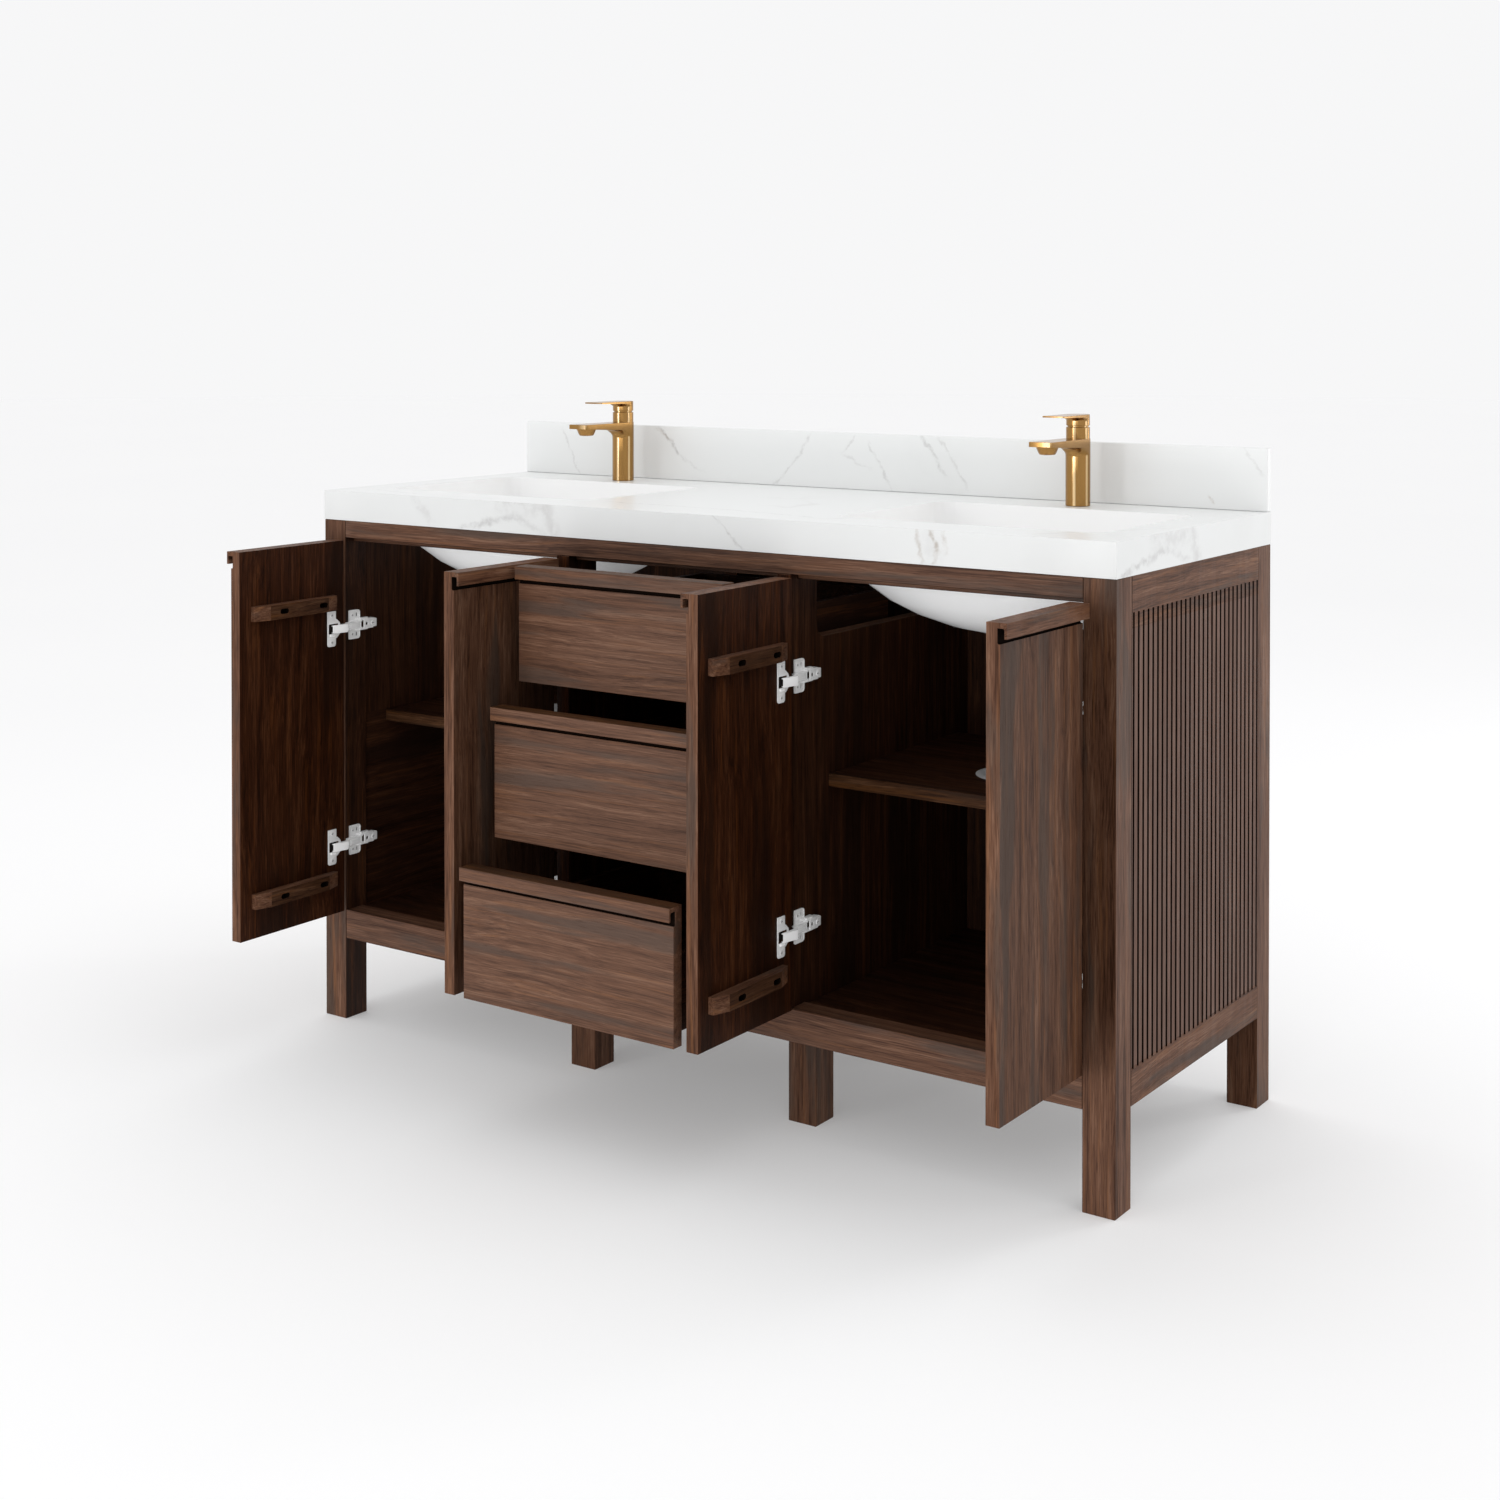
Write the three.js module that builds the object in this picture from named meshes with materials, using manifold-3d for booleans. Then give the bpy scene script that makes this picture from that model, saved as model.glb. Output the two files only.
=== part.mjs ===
// Double-sink bathroom vanity cabinet, 60 inches wide, shown with its doors and drawers open.
// Millimetres, +Z up, +X along the cabinet's width, the doors face -Y.
// The cabinet is drawn with Y = 0 at the worktop's front edge and Z = 0 on the floor, and the
// outer group then moves it so that the origin is the centre of the whole part's footprint.
import * as THREE from 'three';
import { mergeVertices } from 'three/addons/utils/BufferGeometryUtils.js';
import Module from 'manifold-3d';

const wasm = await Module();
wasm.setup();

// ---- driving dimensions -------------------------------------------------------------------
const GAP = 0.3; // clearance between pieces that meet

const TOP_WIDTH = 1524;
const TOP_DEPTH = 557;
const TOP_UNDERSIDE = 876;
const TOP_THICKNESS = 51;
const TOP_SURFACE = TOP_UNDERSIDE + TOP_THICKNESS;
const SPLASH_HEIGHT = 100;
const SPLASH_THICKNESS = 15;

const CARCASS_HALF = 761.5;
const CARCASS_FRONT = 1;
const CARCASS_BACK = TOP_DEPTH;
const CARCASS_TOP = TOP_UNDERSIDE - GAP;
const POST = 50;
const POST_INNER = CARCASS_HALF - POST;
const REAR_POST_FRONT = CARCASS_BACK - 49.5;

const BASE_UNDERSIDE = 142;
const BASE_RAIL_TOP = 192;
const TOP_RAIL_UNDERSIDE = 846;
const RAIL_DEPTH = 40;
const DOOR_STOP_DROP = 8;
const DOOR_STOP_FRONT = 20.6;

const MID_LEG_INNER = 191;
const MID_LEG_SETBACK = 50;

const SIDE_RAIL_UNDERSIDE = 825;
const SIDE_RAIL_THICKNESS = 30;
const SLAT_THICKNESS = 12;
const SLAT_GAP = 5.8;
const SLAT_PITCH = 15.92;
const SLAT_GAPS = 29;
const SIDE_PANEL_INNER = 716;
const SIDE_PANEL_THICKNESS = 15;

const FLOOR_PANEL_BOTTOM = 172;
const FLOOR_PANEL_THICKNESS = 16;
const BACK_PANEL_FRONT = 541;
const BACK_PANEL_THICKNESS = 12;

const DIVIDER_INNER = 204;
const DIVIDER_THICKNESS = 25;
const DIVIDER_OUTER = DIVIDER_INNER + DIVIDER_THICKNESS;
const NOTCH_FRONT = 72;
const NOTCH_BACK = 470;
const NOTCH_FLOOR = 743;
const NOTCH_RADIUS = 20;

const SHELF_FRONT = 104;
const SHELF_TOP = 529;
const SHELF_THICKNESS = 20;

const SINK_CENTRE_X = 470.5;
const SINK_CENTRE_Y = 258.5;
const SINK_HALF_X = 226;
const SINK_HALF_Y = 166.5;
const SINK_CORNER = 28;
const BOWL_WALL = 12;
const BOWL_BOTTOM = 745;
const DRAIN_HOLE = 22.5;
const DRAIN_SEAT = 34;

const FRONT_THICKNESS = 20; // door leaves and drawer fronts
const LIP_PROUD = 10;
const LIP_THICKNESS = 3.7;
const LIP_HEIGHT = 20.7;
const GRIP_ROOF = 7.2;
const GRIP_DEPTH = 3.8;
const GRIP_HEIGHT = 27.7;
const GRIP_RADIUS = 2.4;

const DOOR_BOTTOM = 195.7;
const DOOR_TOP = 843;
const DOOR_GAP = 3.5;
const DOOR_WIDTH = (POST_INNER - DIVIDER_OUTER - 3 * DOOR_GAP) / 2;
const HINGE_OFFSET = 13.8; // turning axis beyond the closed leaf's edge
const HINGE_FRONT = 2.4; // turning axis in front of the closed leaf's face
const HINGE_HEIGHTS = { lower: 312.8, upper: 691.5 };
const BATTEN_HEIGHTS = [258.5, 738];
const BATTEN_HEIGHT = 24.5;
const BATTEN_PROUD = 18;
const BATTEN_START = 24;
const BATTEN_END = 211.2;
const BATTEN_CHAMFER = 29;
const BATTEN_END_PROUD = 9;
const SLOT_CENTRES = [63.8, 152.9]; // screw slots along a batten, from the leaf's hinge edge
const SLOT_HALF = 9.4;
const SLOT_RADIUS = 4.3;
const SLOT_DEPTH = 12;
const CUP_CENTRE = 24.5; // hinge cup from the leaf's hinge edge
const CUP_RADIUS = 13;
const CUP_DEPTH = 11.5;

const LINK_PIVOT_IN = 9; // link pin to the face that carries the hinge
const LINK_PIVOT_BACK = 27.5; // link pin behind the carcass front
const LINK_HALF = 4;
const LINK_BEND = 34;
const LINK_LENGTH = 76;
const LINK_STEP_LOW = 6.2;
const LINK_STEP_HIGH = 17;
const LINK_HEIGHT = 13.4;
const PIN_RADIUS = 1.6;
const PIN_CLEARANCE = 0.3;

const DRAWER_HALF = 200;
const DRAWER_BOX_HALF = 190;
const DRAWER_BOX_DEPTH = 450;
const DRAWER_BOX_HEIGHT = 110;
const DRAWER_BOX_RAISE = 16;
const DRAWER_WALL = 12;
const DRAWER_FLOOR = 8;
const DRAWERS = [
  { name: 'bottom', low: 195.7, high: 398, pull: 254.5 },
  { name: 'middle', low: 427.5, high: 631, pull: 184 },
  { name: 'top', low: 661.3, high: 843, pull: 126.5 },
];

const TAP_X = 468;
const TAP_Y = 475.5;
const TAP_RADIUS = 20;
const TAP_NECK = 19;
const TAP_BORE = 13;
const SPOUT_TOP = TOP_SURFACE + 109;
const SPOUT_REACH = 133.5;
const NECK_TOP = TOP_SURFACE + 127.5;
const LEVER_UNDERSIDE = TOP_SURFACE + 129.9;
const LEVER_TOP = TOP_SURFACE + 148;
const LEVER_REACH = 89;
const TAP_HOLE = 17.5;
const SHANK_RADIUS = 15;

// ---- materials ----------------------------------------------------------------------------
const material = (color, roughness, metalness = 0) =>
  new THREE.MeshStandardMaterial({ color, roughness, metalness });
const walnut = material(0x6b5044, 0.5);
const walnutInside = material(0x2e1a10, 0.5);
const quartz = material(0xeef0ef, 0.15);
const ceramic = material(0xe9ecec, 0.12);
const brass = material(0xb08448, 0.28, 1);
const steel = material(0xd4d6d6, 0.25, 1);

// ---- helpers ------------------------------------------------------------------------------
const axisX = new THREE.Vector3(1, 0, 0);
const axisY = new THREE.Vector3(0, 1, 0);
const axisZ = new THREE.Vector3(0, 0, 1);
const SIDES = [['left', -1], ['right', 1]];

function slab([x0, x1], [y0, y1], [z0, z1]) {
  const box = new THREE.BoxGeometry(Math.abs(x1 - x0), y1 - y0, z1 - z0);
  return box.translate((x0 + x1) / 2, (y0 + y1) / 2, (z0 + z1) / 2);
}

function extrude(shape, depth, curveSegments = 8) {
  return new THREE.ExtrudeGeometry(shape, { depth, bevelEnabled: false, curveSegments });
}

// A section drawn as (depth Y, height Z), run along X from x0.
function runAlongX(shape, length, x0, curveSegments) {
  const turn = new THREE.Matrix4().makeBasis(axisY, axisZ, axisX);
  return extrude(shape, length, curveSegments).applyMatrix4(turn).translate(x0, 0, 0);
}

// A face drawn as (X, Z), run along Y between two depths.
function runAlongY(shape, from, to, curveSegments) {
  const turn = new THREE.Matrix4().makeBasis(axisX, axisZ, axisY.clone().negate());
  return extrude(shape, to - from, curveSegments).applyMatrix4(turn).translate(0, to, 0);
}

function outline(points) {
  return new THREE.Shape(points.map(([x, y]) => new THREE.Vector2(x, y)));
}

function roundedRectangle(path, cx, cy, halfX, halfY, radius) {
  path.moveTo(cx + halfX, cy - halfY + radius);
  path.absarc(cx + halfX - radius, cy + halfY - radius, radius, 0, Math.PI / 2);
  path.absarc(cx - halfX + radius, cy + halfY - radius, radius, Math.PI / 2, Math.PI);
  path.absarc(cx - halfX + radius, cy - halfY + radius, radius, Math.PI, Math.PI * 1.5);
  path.absarc(cx + halfX - radius, cy - halfY + radius, radius, Math.PI * 1.5, Math.PI * 2);
  return path;
}

function disc(radius, x = 0, y = 0) {
  return new THREE.Shape().absarc(x, y, radius, 0, Math.PI * 2);
}

function turned(profile, segments = 32) {
  const points = profile.map(([r, z]) => new THREE.Vector2(r, z));
  return new THREE.LatheGeometry(points, segments).rotateX(Math.PI / 2);
}

function solid(geometry) {
  const bare = geometry.clone();
  bare.deleteAttribute('normal');
  bare.deleteAttribute('uv');
  const merged = mergeVertices(bare, 1e-4);
  const vertProperties = new Float32Array(merged.attributes.position.array);
  const triVerts = new Uint32Array(merged.index.array);
  return new wasm.Manifold(new wasm.Mesh({ numProp: 3, vertProperties, triVerts }));
}

function geometryOf(manifold) {
  const mesh = manifold.getMesh();
  const geometry = new THREE.BufferGeometry();
  geometry.setAttribute('position', new THREE.BufferAttribute(mesh.vertProperties, 3));
  geometry.setIndex(new THREE.BufferAttribute(mesh.triVerts, 1));
  return geometry;
}

const join = (...pieces) => geometryOf(pieces.map(solid).reduce((all, one) => all.add(one)));
const cut = (piece, ...tools) =>
  geometryOf(tools.map(solid).reduce((all, one) => all.subtract(one), solid(piece)));

function add(group, name, geometry, look, x = 0, y = 0, z = 0) {
  const mesh = new THREE.Mesh(geometry, look);
  mesh.name = name;
  mesh.position.set(x, y, z);
  group.add(mesh);
  return mesh;
}

// ---- frame: posts, legs, rails ------------------------------------------------------------
function buildFrame(group) {
  const rearDepth = CARCASS_BACK - REAR_POST_FRONT;
  for (const [side, sign] of SIDES) {
    const centre = sign * (POST_INNER + POST / 2);
    const front = new THREE.BoxGeometry(POST, POST, CARCASS_TOP);
    const rear = new THREE.BoxGeometry(POST, rearDepth, CARCASS_TOP);
    add(group, `post_front_${side}`, front, walnut, centre, CARCASS_FRONT + POST / 2, CARCASS_TOP / 2);
    add(group, `post_rear_${side}`, rear, walnut, centre, CARCASS_BACK - rearDepth / 2, CARCASS_TOP / 2);

    const legHeight = FLOOR_PANEL_BOTTOM - GAP;
    const legX = sign * (MID_LEG_INNER + POST / 2);
    const frontLegY = CARCASS_FRONT + MID_LEG_SETBACK + POST / 2;
    const rearLegY = CARCASS_BACK - MID_LEG_SETBACK - POST / 2;
    const leg = new THREE.BoxGeometry(POST, POST, legHeight);
    add(group, `leg_mid_front_${side}`, leg, walnut, legX, frontLegY, legHeight / 2);
    add(group, `leg_mid_rear_${side}`, leg.clone(), walnut, legX, rearLegY, legHeight / 2);
  }

  // The front top rail carries a lower strip behind the doors that they close against.
  const topRail = outline([
    [CARCASS_FRONT, TOP_RAIL_UNDERSIDE],
    [CARCASS_FRONT + DOOR_STOP_FRONT, TOP_RAIL_UNDERSIDE],
    [CARCASS_FRONT + DOOR_STOP_FRONT, TOP_RAIL_UNDERSIDE - DOOR_STOP_DROP],
    [CARCASS_FRONT + RAIL_DEPTH, TOP_RAIL_UNDERSIDE - DOOR_STOP_DROP],
    [CARCASS_FRONT + RAIL_DEPTH, CARCASS_TOP],
    [CARCASS_FRONT, CARCASS_TOP],
  ]);
  const railHalf = POST_INNER - GAP;
  add(group, 'rail_front_top', runAlongX(topRail, 2 * railHalf, -railHalf), walnut);
  const baseRail = slab(
    [-railHalf, railHalf],
    [CARCASS_FRONT, CARCASS_FRONT + RAIL_DEPTH],
    [BASE_UNDERSIDE, BASE_RAIL_TOP],
  );
  add(group, 'rail_front_bottom', baseRail, walnut);
}

// ---- sides: a slatted screen outside a plain panel ----------------------------------------
function sideScreen() {
  // A rail-thick board, hollowed behind the slats, with a slot sawn through at every gap.
  const y0 = CARCASS_FRONT + POST + GAP;
  const y1 = REAR_POST_FRONT - GAP;
  const back = CARCASS_HALF - SIDE_RAIL_THICKNESS;
  const height = [BASE_RAIL_TOP, SIDE_RAIL_UNDERSIDE];
  const board = slab([back, CARCASS_HALF], [y0, y1], [BASE_UNDERSIDE, CARCASS_TOP]);
  const hollow = slab([back - 1, CARCASS_HALF - SLAT_THICKNESS], [y0 - 1, y1 + 1], height);
  const middle = (y0 + y1) / 2;
  const slots = [];
  for (let i = 0; i < SLAT_GAPS; i += 1) {
    const centre = middle + (i - (SLAT_GAPS - 1) / 2) * SLAT_PITCH;
    slots.push(slab([back, CARCASS_HALF + 1], [centre - SLAT_GAP / 2, centre + SLAT_GAP / 2], height));
  }
  return cut(board, hollow, ...slots);
}

function buildSides(group) {
  for (const [side, sign] of SIDES) {
    const screen = add(group, `side_screen_${side}`, sideScreen(), walnut);
    if (sign < 0) {
      // The screen is alike seen from either end, so the left one is the right one turned round.
      screen.rotation.z = Math.PI;
      screen.position.y = CARCASS_FRONT + POST + REAR_POST_FRONT;
    }
    const panel = new THREE.BoxGeometry(
      SIDE_PANEL_THICKNESS - GAP,
      REAR_POST_FRONT - CARCASS_FRONT - POST - 2 * GAP,
      CARCASS_TOP - BASE_UNDERSIDE,
    );
    const x = sign * (SIDE_PANEL_INNER + (SIDE_PANEL_THICKNESS - GAP) / 2);
    const y = (REAR_POST_FRONT + CARCASS_FRONT + POST) / 2;
    add(group, `side_panel_${side}`, panel, walnutInside, x, y, (CARCASS_TOP + BASE_UNDERSIDE) / 2);
  }
}

// ---- inside: floor, back, dividers, shelves ------------------------------------------------
function dividerGeometry() {
  const low = FLOOR_PANEL_BOTTOM + FLOOR_PANEL_THICKNESS + GAP;
  const back = BACK_PANEL_FRONT - GAP;
  const shape = new THREE.Shape();
  shape.moveTo(CARCASS_FRONT, low);
  shape.lineTo(back, low);
  shape.lineTo(back, CARCASS_TOP);
  shape.lineTo(NOTCH_BACK, CARCASS_TOP);
  shape.lineTo(NOTCH_BACK, NOTCH_FLOOR + NOTCH_RADIUS);
  shape.absarc(NOTCH_BACK - NOTCH_RADIUS, NOTCH_FLOOR + NOTCH_RADIUS, NOTCH_RADIUS, 0, -Math.PI / 2, true);
  shape.absarc(NOTCH_FRONT + NOTCH_RADIUS, NOTCH_FLOOR + NOTCH_RADIUS, NOTCH_RADIUS, -Math.PI / 2, -Math.PI, true);
  shape.lineTo(NOTCH_FRONT, CARCASS_TOP);
  shape.lineTo(CARCASS_FRONT, CARCASS_TOP);
  const panel = runAlongX(shape, DIVIDER_THICKNESS, DIVIDER_INNER);
  const across = [DIVIDER_INNER - POST, DIVIDER_OUTER + POST];
  const front = CARCASS_FRONT - GAP;
  const topRail = slab(across, [front, CARCASS_FRONT + RAIL_DEPTH + GAP], [TOP_RAIL_UNDERSIDE - GAP, TOP_SURFACE]);
  const stop = slab(
    across,
    [CARCASS_FRONT + DOOR_STOP_FRONT - GAP, CARCASS_FRONT + RAIL_DEPTH + GAP],
    [TOP_RAIL_UNDERSIDE - DOOR_STOP_DROP - GAP, TOP_SURFACE],
  );
  const baseRail = slab(across, [front, CARCASS_FRONT + RAIL_DEPTH + GAP], [BASE_UNDERSIDE, BASE_RAIL_TOP + GAP]);
  return cut(panel, topRail, stop, baseRail);
}

function buildInside(group) {
  const panelX = SIDE_PANEL_INNER - GAP;
  const postX = POST_INNER - GAP;
  const y = [CARCASS_FRONT + RAIL_DEPTH + GAP, CARCASS_FRONT + POST + GAP, REAR_POST_FRONT - GAP, BACK_PANEL_FRONT - GAP];
  const floorShape = outline([
    [-postX, y[0]], [postX, y[0]], [postX, y[1]], [panelX, y[1]], [panelX, y[2]], [postX, y[2]],
    [postX, y[3]], [-postX, y[3]], [-postX, y[2]], [-panelX, y[2]], [-panelX, y[1]], [-postX, y[1]],
  ]);
  add(group, 'floor_panel', extrude(floorShape, FLOOR_PANEL_THICKNESS), walnutInside, 0, 0, FLOOR_PANEL_BOTTOM);

  const back = new THREE.BoxGeometry(2 * postX, BACK_PANEL_THICKNESS, CARCASS_TOP - BASE_UNDERSIDE);
  const backY = BACK_PANEL_FRONT + BACK_PANEL_THICKNESS / 2;
  add(group, 'back_panel', back, walnutInside, 0, backY, (CARCASS_TOP + BASE_UNDERSIDE) / 2);

  for (const [side, sign] of SIDES) {
    const dividerX = sign < 0 ? -DIVIDER_INNER - DIVIDER_OUTER : 0;
    add(group, `divider_${side}`, dividerGeometry(), walnut, dividerX, 0, 0);
    const shelfIn = DIVIDER_OUTER + GAP;
    const shelf = new THREE.BoxGeometry(panelX - shelfIn, REAR_POST_FRONT - GAP - SHELF_FRONT, SHELF_THICKNESS);
    add(
      group,
      `shelf_${side}`,
      shelf,
      walnutInside,
      (sign * (panelX + shelfIn)) / 2,
      (REAR_POST_FRONT - GAP + SHELF_FRONT) / 2,
      SHELF_TOP - SHELF_THICKNESS / 2,
    );
  }
}

// ---- worktop, bowls, wastes ----------------------------------------------------------------
function buildTop(group) {
  const top = outline([[-TOP_WIDTH / 2, 0], [TOP_WIDTH / 2, 0], [TOP_WIDTH / 2, TOP_DEPTH], [-TOP_WIDTH / 2, TOP_DEPTH]]);
  for (const [, sign] of SIDES) {
    top.holes.push(
      roundedRectangle(new THREE.Path(), sign * SINK_CENTRE_X, SINK_CENTRE_Y, SINK_HALF_X, SINK_HALF_Y, SINK_CORNER),
      new THREE.Path().absarc(sign * TAP_X, TAP_Y, TAP_HOLE, 0, Math.PI * 2),
    );
  }
  add(group, 'worktop', extrude(top, TOP_THICKNESS), quartz, 0, 0, TOP_UNDERSIDE);
  const splash = new THREE.BoxGeometry(TOP_WIDTH, SPLASH_THICKNESS, SPLASH_HEIGHT - GAP);
  const splashZ = TOP_SURFACE + GAP + (SPLASH_HEIGHT - GAP) / 2;
  add(group, 'backsplash', splash, quartz, 0, TOP_DEPTH - SPLASH_THICKNESS / 2, splashZ);
}

// One level of the bowl: a squared oval that grows rounder as the exponent falls.
function bowlRing(halfX, halfY, exponent, z) {
  const corner = Math.atan2(SINK_HALF_Y - SINK_CORNER, SINK_HALF_X);
  const cornerEnd = Math.atan2(SINK_HALF_Y, SINK_HALF_X - SINK_CORNER);
  const quarter = [0, corner / 3, (corner * 2) / 3];
  for (let i = 0; i <= 3; i += 1) quarter.push(corner + ((cornerEnd - corner) * i) / 3);
  for (let i = 1; i <= 3; i += 1) quarter.push(cornerEnd + ((Math.PI / 2 - cornerEnd) * i) / 4);
  const mirrored = quarter.slice(1).reverse().map((angle) => Math.PI - angle);
  const half = [...quarter, Math.PI / 2, ...mirrored];
  const angles = [...half, ...half.map((angle) => angle + Math.PI)];
  return angles.map((angle) => {
    const across = (Math.abs(Math.cos(angle)) / halfX) ** exponent;
    const along = (Math.abs(Math.sin(angle)) / halfY) ** exponent;
    const radius = (across + along) ** (-1 / exponent);
    return [radius * Math.cos(angle), radius * Math.sin(angle), z];
  });
}

function bowlSkin(halfX, halfY, bottom) {
  const rim = TOP_UNDERSIDE - GAP;
  const levels = [[0, 16], [0.12, 9], [0.27, 5], [0.43, 3.4], [0.6, 3], [0.76, 2.6], [0.9, 2.3], [0.975, 2]];
  const rings = levels.map(([drop, exponent]) => {
    const shrink = Math.sqrt(1 - drop * drop);
    return bowlRing(halfX * shrink, halfY * shrink, exponent, rim - (rim - bottom) * drop);
  });
  for (const radius of [DRAIN_SEAT, DRAIN_HOLE]) rings.push(bowlRing(radius, radius, 2, bottom));
  return rings;
}

function bowlGeometry() {
  const outer = bowlSkin(SINK_HALF_X + BOWL_WALL, SINK_HALF_Y + BOWL_WALL, BOWL_BOTTOM);
  const inner = bowlSkin(SINK_HALF_X, SINK_HALF_Y, BOWL_BOTTOM + BOWL_WALL);
  const rings = [...outer, ...inner.reverse()];
  const count = rings[0].length;
  const index = [];
  rings.forEach((ring, r) => {
    const next = (r + 1) % rings.length;
    for (let i = 0; i < count; i += 1) {
      const j = (i + 1) % count;
      const [a, b, c, d] = [r * count + i, r * count + j, next * count + j, next * count + i];
      index.push(a, d, b, b, d, c);
    }
  });
  const geometry = new THREE.BufferGeometry();
  geometry.setAttribute('position', new THREE.Float32BufferAttribute(rings.flat(2), 3));
  geometry.setIndex(index);
  return geometry;
}

function buildSinks(group) {
  const floor = BOWL_BOTTOM + BOWL_WALL;
  const flange = 30;
  const tube = 20;
  const bore = 16;
  const tail = 120;
  const waste = turned([
    [tube, floor - tail], [tube, floor + GAP], [flange, floor + GAP], [flange, floor + 3],
    [bore, floor + 3], [bore, floor - tail], [tube, floor - tail],
  ]);
  const cap = 23;
  const stem = 4;
  const stopper = turned([
    [0, floor - 40], [stem, floor - 40], [stem, floor + 3 + GAP], [cap, floor + 3 + GAP],
    [cap, floor + 6.5], [cap - 3, floor + 8], [0, floor + 8],
  ]);
  for (const [side, sign] of SIDES) {
    const x = sign * SINK_CENTRE_X;
    add(group, `sink_bowl_${side}`, bowlGeometry(), ceramic, x, SINK_CENTRE_Y, 0);
    add(group, `waste_${side}`, waste.clone(), brass, x, SINK_CENTRE_Y, 0);
    add(group, `stopper_${side}`, stopper.clone(), brass, x, SINK_CENTRE_Y, 0);
  }
}

// ---- taps ----------------------------------------------------------------------------------
function tapBody() {
  const deck = TOP_SURFACE + GAP;
  const column = extrude(disc(TAP_RADIUS), SPOUT_TOP - deck, 24).translate(0, 0, deck);
  const fillet = 15;
  const side = new THREE.Shape();
  side.moveTo(0, SPOUT_TOP);
  side.lineTo(-SPOUT_REACH, SPOUT_TOP);
  side.lineTo(-SPOUT_REACH, SPOUT_TOP - 7);
  side.lineTo(-TAP_RADIUS - fillet, SPOUT_TOP - 13);
  side.quadraticCurveTo(-TAP_RADIUS, SPOUT_TOP - 14, -TAP_RADIUS + 1, SPOUT_TOP - 13 - fillet);
  side.lineTo(0, SPOUT_TOP - 13 - fillet);
  const spout = runAlongX(side, 2 * TAP_NECK, -TAP_NECK, 6);
  const outlet = turned([
    [0, SPOUT_TOP - 21], [9.5, SPOUT_TOP - 21], [14, SPOUT_TOP - 18], [18, SPOUT_TOP - 8],
    [18, SPOUT_TOP - 4], [0, SPOUT_TOP - 4],
  ], 24).translate(0, -SPOUT_REACH + 26, 0);
  const neck = extrude(disc(TAP_NECK), NECK_TOP - SPOUT_TOP + 2, 24).translate(0, 0, SPOUT_TOP - 2);
  const shankLength = 80;
  const shank = extrude(disc(SHANK_RADIUS), shankLength + 2, 16).translate(0, 0, deck - shankLength);
  const bore = extrude(disc(TAP_BORE), NECK_TOP, 16).translate(0, 0, SPOUT_TOP);
  return cut(join(column, spout, outlet, neck, shank), bore);
}

function tapCartridge() {
  const stem = TAP_BORE - 2;
  return turned([
    [0, SPOUT_TOP + GAP], [stem, SPOUT_TOP + GAP], [stem, NECK_TOP + GAP], [17, NECK_TOP + GAP],
    [17, LEVER_UNDERSIDE - GAP], [stem, LEVER_UNDERSIDE - GAP], [stem, LEVER_UNDERSIDE + 4], [0, LEVER_UNDERSIDE + 4],
  ], 24);
}

function tapLever() {
  const hub = extrude(disc(TAP_NECK), LEVER_TOP - LEVER_UNDERSIDE, 24).translate(0, 0, LEVER_UNDERSIDE);
  const side = new THREE.Shape();
  side.moveTo(0, LEVER_TOP);
  side.lineTo(-LEVER_REACH, LEVER_TOP);
  side.lineTo(-LEVER_REACH, LEVER_TOP - 2.5);
  side.lineTo(-TAP_NECK - 6, LEVER_TOP - 4.5);
  side.quadraticCurveTo(-TAP_NECK + 1, LEVER_TOP - 5, -TAP_NECK + 2, LEVER_TOP - 12);
  side.lineTo(0, LEVER_TOP - 12);
  const plate = runAlongX(side, 2 * TAP_NECK, -TAP_NECK, 6);
  const bore = extrude(disc(TAP_BORE), 6, 16).translate(0, 0, LEVER_UNDERSIDE - 1);
  return cut(join(hub, plate), bore);
}

function buildTaps(group) {
  for (const [side, sign] of SIDES) {
    const tap = new THREE.Group();
    tap.position.set(sign * TAP_X, TAP_Y, 0);
    group.add(tap);
    add(tap, `tap_body_${side}`, tapBody(), brass);
    add(tap, `tap_cartridge_${side}`, tapCartridge(), steel);
    add(tap, `tap_lever_${side}`, tapLever(), brass);
  }
}

// ---- door leaves and drawer fronts ---------------------------------------------------------
// Section of a front, with Y = 0 on its outer face: a lip along the top edge hooks down
// in front of a finger groove.
function frontSection(low, high) {
  const shape = new THREE.Shape();
  const roof = high - GRIP_ROOF;
  const groove = -LIP_PROUD + LIP_THICKNESS;
  shape.moveTo(0, low);
  shape.lineTo(FRONT_THICKNESS, low);
  shape.lineTo(FRONT_THICKNESS, high);
  shape.lineTo(-LIP_PROUD, high);
  shape.lineTo(-LIP_PROUD, high - LIP_HEIGHT);
  shape.lineTo(groove, high - LIP_HEIGHT);
  shape.absarc(groove + GRIP_RADIUS, roof - GRIP_RADIUS, GRIP_RADIUS, Math.PI, Math.PI / 2, true);
  shape.lineTo(GRIP_DEPTH, roof);
  shape.absarc(GRIP_DEPTH - GRIP_RADIUS, high - GRIP_HEIGHT + GRIP_RADIUS, GRIP_RADIUS, 0, -Math.PI / 2, true);
  shape.lineTo(0, high - GRIP_HEIGHT);
  return shape;
}

// Plan of a batten on the inside of a leaf that is hinged on the side given by sign.
function battenPlan(sign) {
  const face = HINGE_FRONT + FRONT_THICKNESS;
  const [root, end, crest] = [face - 1, face + BATTEN_END_PROUD, face + BATTEN_PROUD];
  const near = HINGE_OFFSET + BATTEN_START;
  const far = HINGE_OFFSET + BATTEN_END;
  const points = [
    [near, root], [near, end], [near + BATTEN_CHAMFER, crest],
    [far - BATTEN_CHAMFER, crest], [far, end], [far, root],
  ];
  return outline(points.map(([x, y]) => [-sign * x, y]));
}

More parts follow.
